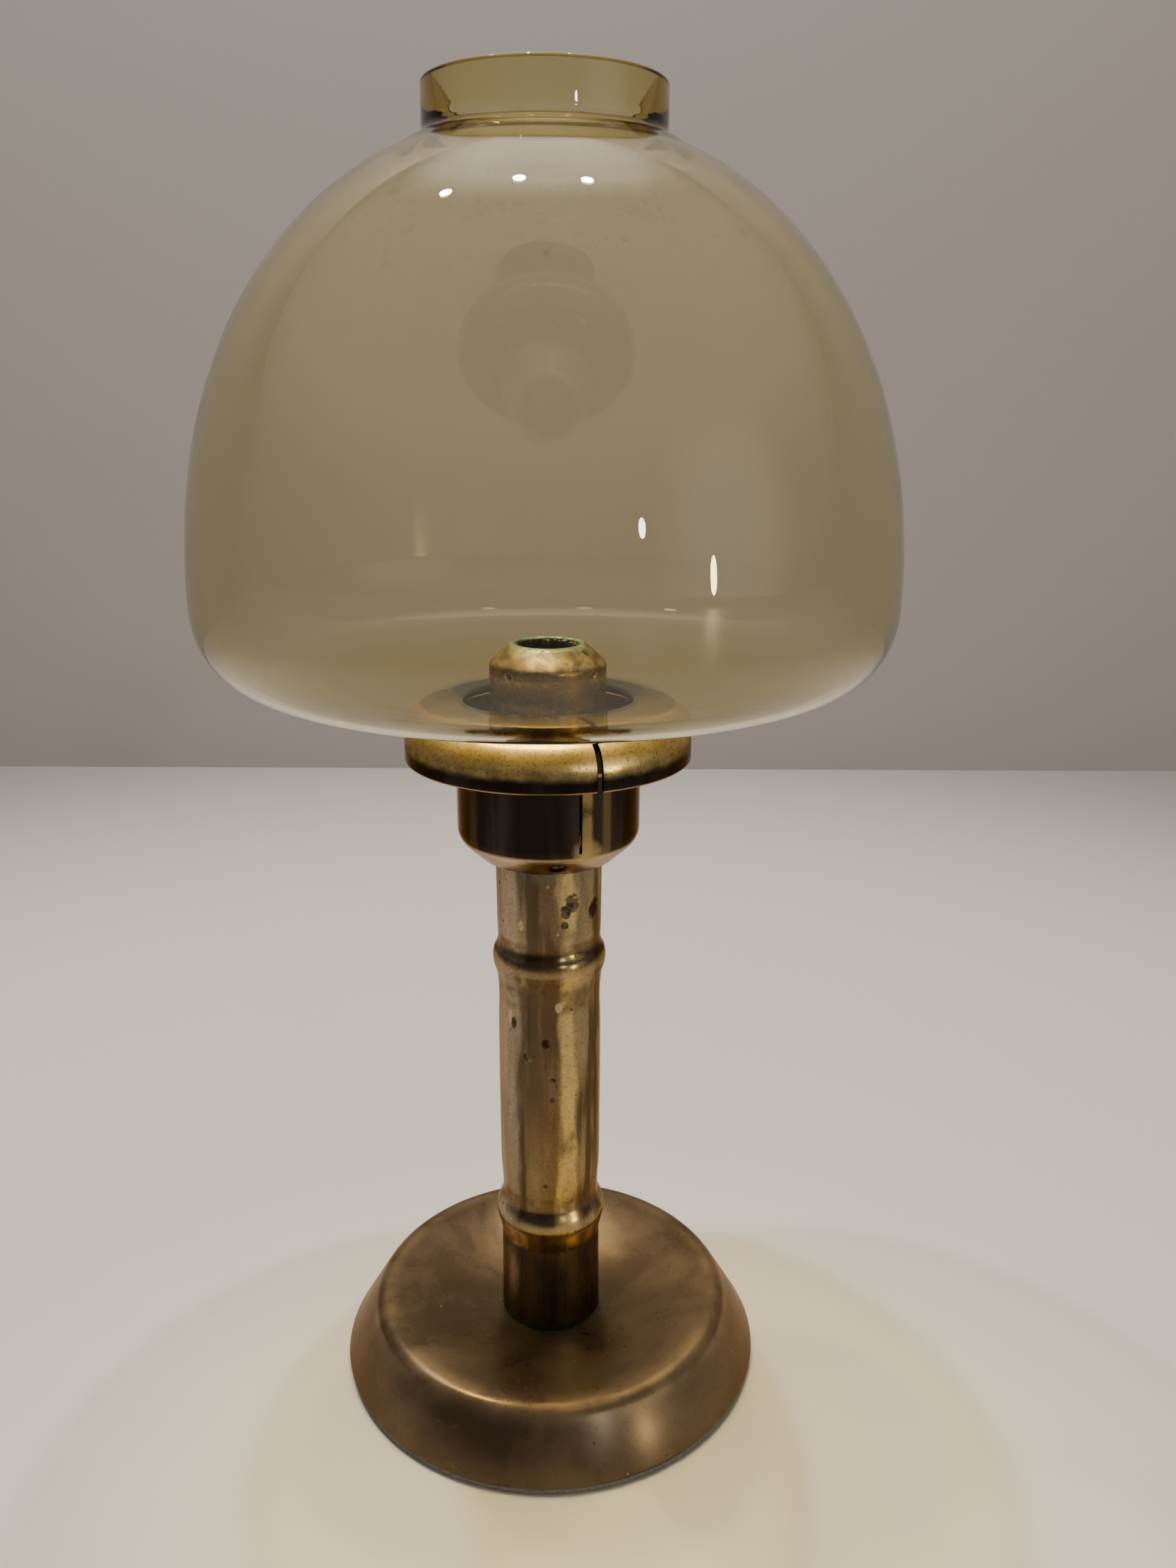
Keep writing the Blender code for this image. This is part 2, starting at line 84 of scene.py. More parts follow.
# Stem
BORE_R = 11.5
NECK_R = 12.5
STEM_TOP = 187.0
STEM_OUTLINE = (
    (13.05, 11.45), (12.95, 20.0), (12.85, 32.6), (12.85, 35.4),
    (13.45, 38.1), (14.0, 40.6), (14.0, 42.4), (13.6, 44.1), (12.6, 46.6), (12.4, 48.6),
    (12.55, 52.0), (12.85, 58.5), (12.92, 78.0), (12.9, 96.0), (12.7, 104.0),
    (13.1, 109.5), (13.85, 112.2), (14.08, 114.4), (13.75, 116.2), (13.15, 117.4), (12.72, 119.3),
    (12.85, 123.0), (12.96, 134.0), (12.96, 140.2),
)
PIN_Z = 172.5
PIN_R = 1.0
PIN_CLEARANCE = 0.3
PIN_ANGLES = (90.0, -90.0)

# Shade holder
CUP_R = 22.0
CUP_WALL = 0.8
CUP_FOOT = (13.3, 139.9)
CUP_TAPER_LOW = (16.3, 140.85)
CUP_BORE_R = 12.8
ELBOW_R = 4.9
ELBOW_Z = 148.3
TAPER_ANGLE = -47.0
FLANGE_BOTTOM = 165.6
FLANGE_LIP_Z = 169.3
FLANGE_TOP = HOLDER_HIGH - DATUM
FLANGE_FLAT_R = 28.0
MOUTH_ROUND = 1.0
SLIT_ANGLE = -69.0
SLIT_FLANGE = 1.2
SLIT_WALL = 0.6
SLIT_BOTTOM = 147.9
VENT_R = 1.75
VENT_MID = (19.0, 143.35)
VENT_ANGLES = (-82.0, 8.0, 98.0, 188.0)

# Glass shade
WIDE_Z = 205.3
DOME_HEIGHT = 96.6
DOME_POWER = 2.14
CORNER_MID_R = 58.8
CORNER_HEIGHT = 20.45
CORNER_POWER = 2.36
FOOT_R = 34.0
SHADE_BOTTOM = SHADE_LOW - DATUM
SHADE_HOLE_R = 19.8
SHADE_FLOOR = 2.2
DOME_WALL = 0.9
COLLAR_R = 25.7
COLLAR_WALL = 2.9
COLLAR_FOOT_Z = 298.2
RIM_ROUND = 0.7
SHADE_TOP = SHADE_HIGH - DATUM

# Burner cap
CAP_BORE_R = 12.85
CAP_BOTTOM = CAP_LOW - DATUM
CAP_CONE = ((CAP_R, 187.0), (13.5, 187.8), (13.05, 188.4), (12.3, 189.15), (11.5, 189.9), (9.4, 191.85),
            (8.7, 192.3), (8.1, 192.45), (7.6, 192.4), (7.25, 192.05))
CAP_INSIDE = ((7.25, 191.3), (8.7, 191.3), (10.9, 189.25), (11.9, 188.3), (12.6, 187.4), (CAP_BORE_R, 186.6))
SLOT_HALF = 1.35
CAP_TURN = 30.0
CHARRED = 3.0                   # length of the wick's burnt end
DIMPLE_ANGLES = (-129.0, -39.0, 51.0, 141.0)
DIMPLE_Z = 186.0
DIMPLE_R = 1.0
DIMPLE_DEPTH = 0.6
CRUMBS = 9                      # lumps of char inside the hole's rim, from one angle round to another
CRUMB_START = 12.0
CRUMB_STEP = 11.0
CRUMB_OUT = 7.0
CRUMB_Z = 191.35
CRUMB_R = 0.55

# Camera, in metres and degrees
CAMERA_PLACE = (0.0091, -0.29072, 0.24683)
CAMERA_LENS = 29.03
CAMERA_TURN = -0.075
CAMERA_DOWN = 16.87
CAMERA_ROLL = 0.256


# ---------------------------------------------------------------- geometry

def arc(middle, radius, start, end, steps):
    """Points on a circular or, with a pair of radii, an elliptical arc in the (radius, height) plane."""
    across, up = radius if isinstance(radius, tuple) else (radius, radius)
    turns = [math.radians(start + (end - start) * step / steps) for step in range(steps + 1)]
    return [(middle[0] + across * math.cos(turn), middle[1] + up * math.sin(turn)) for turn in turns]


def superellipse(middle_r, across, up, power, start, end, steps):
    """Points on a superellipse about (middle_r, WIDE_Z), between two angles in degrees."""
    points = []
    for step in range(steps + 1):
        turn = math.radians(start + (end - start) * step / steps)
        side = abs(math.cos(turn)) ** (2.0 / power)
        rise = math.copysign(abs(math.sin(turn)) ** (2.0 / power), math.sin(turn))
        points.append((middle_r + across * side, WIDE_Z + up * rise))
    return points


def smooth_line(points, steps):
    """A Catmull-Rom curve through the points."""
    curve = []
    for index in range(len(points) - 1):
        before = Vector(points[max(index - 1, 0)])
        start = Vector(points[index])
        end = Vector(points[index + 1])
        after = Vector(points[min(index + 2, len(points) - 1)])
        for step in range(steps):
            t = step / steps
            curve.append(tuple(0.5 * (2.0 * start + (end - before) * t
                                      + (2.0 * before - 5.0 * start + 4.0 * end - after) * t * t
                                      + (3.0 * start - before - 3.0 * end + after) * t * t * t)))
    return curve + [tuple(points[-1])]


def inset(outline, depth):
    """An open outline moved sideways, to the left of its direction of travel."""
    moved = []
    for index, point in enumerate(outline):
        along = Vector(outline[min(index + 1, len(outline) - 1)]) - Vector(outline[max(index - 1, 0)])
        along.normalize()
        moved.append((point[0] - along.y * depth, point[1] + along.x * depth))
    return moved


def as_object(shape, name, material):
    bmesh.ops.remove_doubles(shape, verts=shape.verts, dist=1e-7)
    bmesh.ops.recalc_face_normals(shape, faces=shape.faces)
    mesh = bpy.data.meshes.new(name)
    shape.to_mesh(mesh)
    shape.free()
    mesh.materials.append(material)
    mesh.shade_smooth()
    mesh.set_sharp_from_angle(angle=math.radians(SHARP))
    made = bpy.data.objects.new(name, mesh)
    bpy.context.scene.collection.objects.link(made)
    return made


def turned(name, outline, material, segments=FINE, shift=None):
    """Spin a closed outline about the lamp's axis. shift moves each point of the result, in millimetres."""
    shape = bmesh.new()
    points = [shape.verts.new((radius * MM, 0.0, (height + DATUM) * MM)) for radius, height in outline]
    edges = [shape.edges.new(pair) for pair in zip(points, points[1:])]
    if outline[0][0] > 0.0:
        edges.append(shape.edges.new((points[-1], points[0])))
    bmesh.ops.spin(shape, geom=points + edges, cent=(0.0, 0.0, 0.0), axis=(0.0, 0.0, 1.0),
                   angle=math.tau, steps=segments, use_merge=True, use_duplicate=False)
    if shift:
        for vertex in shape.verts:
            vertex.co = shift(vertex.co / MM) * MM
    return as_object(shape, name, material)


def radial_place(angle, distance, height, tilt=90.0):
    """Where a piece made along Z goes to point outwards, at an angle round the axis."""
    turn = Matrix.Rotation(math.radians(angle), 4, "Z")
    lean = Matrix.Rotation(math.radians(tilt), 4, "Y")
    return turn @ Matrix.Translation((distance * MM, 0.0, (height + DATUM) * MM)) @ lean


def drill(radius, length, place, material):
    """A round cutter."""
    shape = bmesh.new()
    bmesh.ops.create_cone(shape, cap_ends=True, segments=48, radius1=radius * MM, radius2=radius * MM,
                          depth=length * MM, matrix=place)
    return as_object(shape, "cutter", material)


def blade(size, middle, angle, material):
    """A box cutter whose length runs outwards from the axis, at an angle round it."""
    shape = bmesh.new()
    place = (Matrix.Rotation(math.radians(angle), 4, "Z")
             @ Matrix.Translation((middle[0] * MM, middle[1] * MM, (middle[2] + DATUM) * MM))
             @ Matrix.Diagonal((size[0] * MM, size[1] * MM, size[2] * MM, 1.0)))
    bmesh.ops.create_cube(shape, size=1.0, matrix=place)
    return as_object(shape, "cutter", material)


def ring_sector(inner, outer, low, high, start, end, material):
    """A cutter in the form of a piece of a ring, between two angles."""
    steps = 16
    shape = bmesh.new()
    rings = []
    for step in range(steps + 1):
        turn = math.radians(start + (end - start) * step / steps)
        corners = ((inner, low), (outer, low), (outer, high), (inner, high))
        rings.append([shape.verts.new((radius * MM * math.cos(turn), radius * MM * math.sin(turn),
                                       (height + DATUM) * MM)) for radius, height in corners])
    for before, after in zip(rings, rings[1:]):
        for side in range(4):
            following = (side + 1) % 4
            shape.faces.new((before[side], before[following], after[following], after[side]))
    shape.faces.new(rings[0])
    shape.faces.new(rings[-1])
    return as_object(shape, "cutter", material)


def carve(target, cutters, operation="DIFFERENCE"):
    """Subtract or add the cutters, and keep only the result."""
    for cutter in cutters:
        modifier = target.modifiers.new("cut", "BOOLEAN")
        modifier.operation = operation
        modifier.solver = "EXACT"
        modifier.object = cutter
    bpy.context.view_layer.update()
    carved = bpy.data.meshes.new_from_object(target.evaluated_get(bpy.context.evaluated_depsgraph_get()))
    target.modifiers.clear()
    target.data = carved
    carved.shade_smooth()
    carved.set_sharp_from_angle(angle=math.radians(SHARP))
    for cutter in cutters:
        bpy.data.objects.remove(cutter, do_unlink=True)
    return target


# ---------------------------------------------------------------- node helpers

def new_material(name):
    material = bpy.data.materials.new(name)
    material.use_nodes = True
    return material, material.node_tree, material.node_tree.nodes["Principled BSDF"]


def plug(tree, socket, value):
    """Link a socket to value where value is a socket, or else set it."""
    if isinstance(value, bpy.types.NodeSocket):
        tree.links.new(value, socket)
    elif isinstance(value, tuple) and len(value) == 3 and socket.type == "RGBA":
        socket.default_value = (*value, 1.0)
    else:
        socket.default_value = value


def place(tree, stretch=(1.0, 1.0, 1.0)):
    """Position on the piece, in metres, stretched for the textures that read it."""
    where = tree.nodes.new("ShaderNodeTexCoord").outputs["Object"]
    if stretch == (1.0, 1.0, 1.0):
        return where
    mapping = tree.nodes.new("ShaderNodeMapping")
    mapping.inputs["Scale"].default_value = stretch
    tree.links.new(where, mapping.inputs["Vector"])
    return mapping.outputs["Vector"]


def noise(tree, scale, detail=4.0, roughness=0.55, stretch=(1.0, 1.0, 1.0), distortion=0.0):
    made = tree.nodes.new("ShaderNodeTexNoise")
    made.inputs["Scale"].default_value = scale
    made.inputs["Detail"].default_value = detail
    made.inputs["Roughness"].default_value = roughness
    made.inputs["Distortion"].default_value = distortion
    tree.links.new(place(tree, stretch), made.inputs["Vector"])
    return made.outputs["Fac"]


def cells(tree, scale, stretch=(1.0, 1.0, 1.0)):
    """Distance to the nearest of scattered points."""
    made = tree.nodes.new("ShaderNodeTexVoronoi")
    made.inputs["Scale"].default_value = scale
    tree.links.new(place(tree, stretch), made.inputs["Vector"])
    return made.outputs["Distance"]


def maths(tree, operation, first, second=0.0):
    made = tree.nodes.new("ShaderNodeMath")
    made.operation = operation
    plug(tree, made.inputs[0], first)
    plug(tree, made.inputs[1], second)
    return made.outputs[0]


def remap(tree, value, low, high, to_low=0.0, to_high=1.0):
    """value from low..high to to_low..to_high, clamped, with smooth ends."""
    made = tree.nodes.new("ShaderNodeMapRange")
    made.interpolation_type = "SMOOTHSTEP"
    plug(tree, made.inputs["Value"], value)
    made.inputs["From Min"].default_value = low
    made.inputs["From Max"].default_value = high
    made.inputs["To Min"].default_value = to_low
    made.inputs["To Max"].default_value = to_high
    return made.outputs[0]


def blend(tree, share, first, second, kind="MIX"):
    """Two colours mixed by share."""
    made = tree.nodes.new("ShaderNodeMix")
    made.data_type = "RGBA"
    made.blend_type = kind
    plug(tree, made.inputs[0], share)
    plug(tree, made.inputs[6], first)
    plug(tree, made.inputs[7], second)
    return made.outputs[2]


def both(tree, *masks):
    """The product of the masks."""
    result = masks[0]
    for mask in masks[1:]:
        result = maths(tree, "MULTIPLY", result, mask)
    return result


def either(tree, *masks):
    """The largest of the masks."""
    result = masks[0]
    for mask in masks[1:]:
        result = maths(tree, "MAXIMUM", result, mask)
    return result


def height(tree):
    """Height above the datum, in millimetres."""
    split = tree.nodes.new("ShaderNodeSeparateXYZ")
    tree.links.new(place(tree), split.inputs[0])
    return maths(tree, "SUBTRACT", maths(tree, "DIVIDE", split.outputs["Z"], MM), DATUM)


def from_axis(tree):
    """Distance from the lamp's axis, in millimetres."""
    flat = tree.nodes.new("ShaderNodeVectorMath")
    flat.operation = "MULTIPLY"
    flat.inputs[1].default_value = (1.0 / MM, 1.0 / MM, 0.0)
    tree.links.new(place(tree), flat.inputs[0])
    size = tree.nodes.new("ShaderNodeVectorMath")
    size.operation = "LENGTH"
    tree.links.new(flat.outputs[0], size.inputs[0])
    return size.outputs["Value"]


def bearing(tree):
    """Angle round the axis from the lamp's front towards +X, in degrees."""
    split = tree.nodes.new("ShaderNodeSeparateXYZ")
    tree.links.new(place(tree), split.inputs[0])
    turn = maths(tree, "ARCTAN2", split.outputs["X"], maths(tree, "MULTIPLY", split.outputs["Y"], -1.0))
    return maths(tree, "MULTIPLY", turn, math.degrees(1.0))


def band(tree, value, middle, half, soft):
    """1 within half of the middle, falling to 0 over soft."""
    off = maths(tree, "ABSOLUTE", maths(tree, "SUBTRACT", value, middle))
    return remap(tree, off, half, half + soft, 1.0, 0.0)


def blotch(tree, centre, radii, ragged=0.6, soft=0.18, scale=420.0):
    """A ragged-edged stain about a point, in millimetres; radii are its half sizes along X, Y and Z."""
    shifted = tree.nodes.new("ShaderNodeVectorMath")
    shifted.operation = "SUBTRACT"
    shifted.inputs[1].default_value = (centre[0] * MM, centre[1] * MM, (centre[2] + DATUM) * MM)
    tree.links.new(place(tree), shifted.inputs[0])
    sized = tree.nodes.new("ShaderNodeVectorMath")
    sized.operation = "DIVIDE"
    sized.inputs[1].default_value = [radius * MM for radius in radii]
    tree.links.new(shifted.outputs[0], sized.inputs[0])
    off = tree.nodes.new("ShaderNodeVectorMath")
    off.operation = "LENGTH"
    tree.links.new(sized.outputs[0], off.inputs[0])
    wobble = maths(tree, "MULTIPLY", maths(tree, "SUBTRACT", noise(tree, scale, 3.0), 0.5), 2.0 * ragged)
    return remap(tree, maths(tree, "ADD", off.outputs["Value"], wobble), 1.0 - soft, 1.0 + soft, 1.0, 0.0)


def bump(tree, shader, value, depth, strength=1.0):
    """Raise the surface by value, where 1 stands for depth millimetres."""
    made = tree.nodes.new("ShaderNodeBump")
    made.inputs["Strength"].default_value = strength
    made.inputs["Distance"].default_value = depth * MM
    tree.links.new(value, made.inputs["Height"])
    tree.links.new(made.outputs["Normal"], shader.inputs["Normal"])


def metal(tree, shader, colour, roughness, share=1.0):
    """Metal, with an edge tint that keeps tarnished brass from turning white where it's seen edge on."""
    plug(tree, shader.inputs["Base Color"], colour)
    plug(tree, shader.inputs["Roughness"], roughness)
    shader.inputs["Metallic"].default_value = share
    shader.inputs["Specular Tint"].default_value = (0.62, 0.52, 0.42, 1.0)


# ---------------------------------------------------------------- materials

def specks(tree, scale, size, patch_scale=40.0, share=0.5):
    """Small scattered spots, gathered in patches."""
    spots = remap(tree, cells(tree, scale), size * 0.6, size, 1.0, 0.0)
    patches = remap(tree, noise(tree, patch_scale, 3.0), share, share + 0.12)
    return both(tree, spots, patches)


def base_metal():
    """Satin brown patina, rubbed golden on the shoulder, with dull patches, pits and specks of dust, and the
    skirt darkened as painted shade.
    """
    material, tree, shader = new_material("patinated_brass")
    mottled = noise(tree, 38.0, 6.0, 0.6, distortion=0.4)
    fine = noise(tree, 900.0, 4.0, 0.7)
    colour = blend(tree, remap(tree, mottled, 0.35, 0.7), (0.112, 0.081, 0.055), (0.195, 0.146, 0.098))
    colour = blend(tree, both(tree, remap(tree, fine, 0.5, 0.75), 0.35), colour, (0.07, 0.048, 0.032))
    shoulder = band(tree, from_axis(tree), 45.2, 1.6, 3.2)
    rubbed_and_glint = both(tree, shoulder, remap(tree, height(tree), 12.0, 15.0),
                  remap(tree, noise(tree, 70.0, 4.0), 0.36, 0.62))
    colour = blend(tree, both(tree, rubbed_and_glint, 0.5), colour, (0.34, 0.25, 0.14))
    stains = remap(tree, noise(tree, 95.0, 5.0, 0.7), 0.6, 0.72)
    colour = blend(tree, both(tree, stains, 0.45), colour, (0.085, 0.050, 0.028))
    # The skirt beyond the shoulder is darkened as painted shade.
    skirt = both(tree, remap(tree, from_axis(tree), 47.0, 49.5), 0.34)
    colour = blend(tree, skirt, colour, (0.060, 0.042, 0.031))
    pits = specks(tree, 330.0, 0.09, 60.0, 0.46)
    colour = blend(tree, pits, colour, (0.05, 0.032, 0.02))
    dust = specks(tree, 210.0, 0.05, 55.0, 0.5)
    colour = blend(tree, dust, colour, (0.55, 0.50, 0.43))
    groove = both(tree, remap(tree, from_axis(tree), 13.2, 16.0, 1.0, 0.0),
                  remap(tree, height(tree), 9.0, 11.0))
    colour = blend(tree, both(tree, groove, remap(tree, noise(tree, 500.0), 0.35, 0.6)), colour,
                   (0.10, 0.115, 0.07))
    rough = maths(tree, "ADD", remap(tree, mottled, 0.3, 0.75, 0.25, 0.35), both(tree, pits, 0.25))
    metal(tree, shader, colour, maths(tree, "ADD", rough, both(tree, dust, 0.35)), 0.8)
    lathe = noise(tree, 1.0, 3.0, 0.7, (3.0, 3.0, 1500.0))
    bump(tree, shader, maths(tree, "ADD", both(tree, fine, 0.7), both(tree, lathe, 0.25)), 0.016)
    return material


def stem_corrosion(tree):
    """The stem's two large corroded blotches and its scattered dark pits."""
    return either(
        tree,
        blotch(tree, (5.9, -11.5, 131.9), (1.7, 2.4, 2.4), 0.8, 0.15, 640.0),
        blotch(tree, (4.4, -12.1, 129.9), (1.5, 2.0, 1.8), 0.8, 0.15, 640.0),
        blotch(tree, (11.0, -7.0, 128.8), (1.7, 2.2, 2.6), 0.8, 0.15, 640.0),
        blotch(tree, (4.1, -12.2, 126.4), (0.9, 1.2, 1.0), 0.4),
        blotch(tree, (-0.6, -12.9, 95.3), (1.2, 1.4, 1.1), 0.4),
        blotch(tree, (1.0, -12.9, 85.2), (0.8, 1.2, 0.7), 0.4),
        blotch(tree, (0.9, -12.9, 79.8), (0.6, 1.0, 0.7), 0.4),
        blotch(tree, (-8.5, -9.7, 99.6), (0.8, 1.0, 1.6), 0.5),
        blotch(tree, (-5.6, -11.6, 91.0), (0.6, 1.0, 1.2), 0.5),
        blotch(tree, (-0.9, -12.9, 54.9), (0.6, 1.0, 0.6), 0.4),
        blotch(tree, (9.0, 9.3, 74.0), (1.8, 1.8, 2.4), 0.6),
        blotch(tree, (-8.0, 10.2, 112.0), (1.4, 1.4, 1.8), 0.6),
    )


def stem_chips(tree):
    """Small bright places where the stem's tarnish has come off."""
    return either(
        tree,
        blotch(tree, (-9.6, -8.7, 100.9), (0.8, 1.0, 1.9), 0.5),
        blotch(tree, (2.6, -12.6, 104.8), (0.9, 1.0, 1.3), 0.5),
        blotch(tree, (-6.4, -11.2, 126.0), (0.6, 1.0, 1.2), 0.5),
        both(tree, specks(tree, 170.0, 0.10, 40.0, 0.5), 0.7),
    )


def stem_metal():
    """Golden brass with dark vertical runs, upright bands of painted reflection round the front (a painted
    shade streak, a dim band, a painted gold highlight and a pale band), tarnish under the beads, pits and two
    corroded blotches.
    """
    material, tree, shader = new_material("aged_brass_stem")
    streak = noise(tree, 150.0, 5.0, 0.6, (1.0, 1.0, 0.10))
    broad = noise(tree, 60.0, 4.0, 0.6, (1.0, 1.0, 0.3))
    around = bearing(tree)
    colour = blend(tree, remap(tree, broad, 0.34, 0.66), (0.150, 0.110, 0.062), (0.32, 0.246, 0.132))
    colour = blend(tree, both(tree, remap(tree, streak, 0.50, 0.60), 0.8), colour, (0.060, 0.042, 0.026))
    ragged = both(tree, maths(tree, "SUBTRACT", noise(tree, 130.0, 4.0, 0.6, (1.0, 1.0, 0.25)), 0.5), 34.0)
    wavering = maths(tree, "ADD", around, ragged)
    # Bands at fixed angles round the front are painted reflections; this one is a dark streak of painted
    # shade.
    run = band(tree, wavering, -18.0, 6.0, 8.0)
    painted_shade_streak = both(tree, run, remap(tree, height(tree), 56.0, 92.0), 0.8)
    colour = blend(tree, painted_shade_streak, colour, (0.055, 0.036, 0.020))
    # A dim band of painted reflection just right of the front.
    painted_dim_band = both(tree, band(tree, wavering, 2.0, 8.0, 8.0), 0.5)
    colour = blend(tree, painted_dim_band, colour, (0.115, 0.068, 0.034))
    # A painted gold highlight, the reflection of a warm lamp, right of the front.
    painted_gold_highlight = both(tree, band(tree, wavering, 22.0, 6.0, 8.0), remap(tree, noise(tree, 90.0), 0.30, 0.55), 0.85)
    colour = blend(tree, painted_gold_highlight, colour, (0.52, 0.390, 0.155))
    # A pale band of painted reflection on the left side.
    left = both(tree, band(tree, wavering, -56.0, 12.0, 12.0), 0.5)
    colour = blend(tree, left, colour, (0.44, 0.36, 0.26))
    level = height(tree)
    grooves = either(tree, band(tree, level, 48.2, 1.0, 2.6), band(tree, level, 119.6, 0.6, 1.8),
                     band(tree, level, 36.0, 0.6, 2.0), band(tree, level, 106.5, 1.6, 2.6))
    colour = blend(tree, both(tree, grooves, remap(tree, noise(tree, 260.0, 4.0), 0.3, 0.6), 0.7), colour,
                   (0.10, 0.062, 0.030))
    crests = either(tree, band(tree, level, 41.5, 0.9, 1.3), band(tree, level, 114.6, 0.9, 1.2))
    colour = blend(tree, both(tree, crests, 0.5), colour, (0.34, 0.25, 0.115))
    pits = specks(tree, 260.0, 0.12, 45.0, 0.46)
    runs = specks(tree, 120.0, 0.16, 30.0, 0.52)
    colour = blend(tree, both(tree, either(tree, pits, runs), 0.8), colour, (0.075, 0.045, 0.024))
    spots = stem_corrosion(tree)
    chips = stem_chips(tree)
    colour = blend(tree, both(tree, chips, 0.7), colour, (0.52, 0.41, 0.22))
    below = both(tree, remap(tree, level, 37.5, 34.0), 0.75)
    dull = blend(tree, remap(tree, streak, 0.4, 0.6), (0.17, 0.150, 0.125), (0.085, 0.073, 0.060))
    colour = blend(tree, below, colour, dull)
    grime = remap(tree, noise(tree, 1500.0, 4.0, 0.75), 0.46, 0.66)
    colour = blend(tree, both(tree, grime, 0.42), colour, (0.070, 0.048, 0.029))
    crust = blend(tree, remap(tree, noise(tree, 520.0, 3.0), 0.42, 0.6), (0.030, 0.026, 0.018),
                  (0.115, 0.098, 0.062))
    colour = blend(tree, both(tree, spots, 0.95), colour, crust)
    top = both(tree, remap(tree, level, 139.6, 136.0, 1.0, 0.0),
               remap(tree, noise(tree, 330.0, 4.0), 0.42, 0.62))
    verdigris = either(tree, top, both(tree, remap(tree, level, 13.4, 11.8, 0.0, 1.0), 0.8))
    colour = blend(tree, both(tree, verdigris, 0.6), colour, (0.10, 0.15, 0.095))
    rough = remap(tree, streak, 0.35, 0.7, 0.19, 0.30)
    metal(tree, shader, colour, maths(tree, "ADD", rough, both(tree, either(tree, spots, pits), 0.3)))
    texture = maths(tree, "SUBTRACT", both(tree, noise(tree, 1100.0, 3.0, 0.7), 0.5),
                    both(tree, either(tree, spots, pits), 0.9))
    bump(tree, shader, texture, 0.02)
    return material


def on_outside(tree):
    """1 on the flange's outer skin, 0 under it."""
    past = maths(tree, "MAXIMUM", maths(tree, "SUBTRACT", from_axis(tree), FLANGE_FLAT_R), 0.0)
    out = maths(tree, "DIVIDE", past, FLANGE_R - FLANGE_FLAT_R)
    up = maths(tree, "DIVIDE", maths(tree, "SUBTRACT", height(tree), FLANGE_LIP_Z), FLANGE_TOP - FLANGE_LIP_Z)
    squares = maths(tree, "ADD", maths(tree, "POWER", out, 2.0), maths(tree, "POWER", up, 2.0))
    return maths(tree, "GREATER_THAN", maths(tree, "SQRT", squares), 0.95)


def in_slit(tree):
    """1 on the walls of the holder's slit, wider through the flange than down the cup."""
    turn = math.radians(SLIT_ANGLE)
    off = tree.nodes.new("ShaderNodeVectorMath")
    off.operation = "DOT_PRODUCT"
    off.inputs[1].default_value = (-math.sin(turn) / MM, math.cos(turn) / MM, 0.0)
    tree.links.new(place(tree), off.inputs[0])
    out = tree.nodes.new("ShaderNodeVectorMath")
    out.operation = "DOT_PRODUCT"
    out.inputs[1].default_value = (math.cos(turn), math.sin(turn), 0.0)
    tree.links.new(place(tree), out.inputs[0])
    level = height(tree)
    half = remap(tree, level, FLANGE_BOTTOM - 0.2, FLANGE_BOTTOM, SLIT_WALL / 2.0 + 0.06,
                 SLIT_FLANGE / 2.0 + 0.12)
    inside = maths(tree, "LESS_THAN", maths(tree, "ABSOLUTE", off.outputs["Value"]), half)
    return both(tree, inside, maths(tree, "GREATER_THAN", out.outputs["Value"], 0.0),
                maths(tree, "GREATER_THAN", level, SLIT_BOTTOM - 0.3))


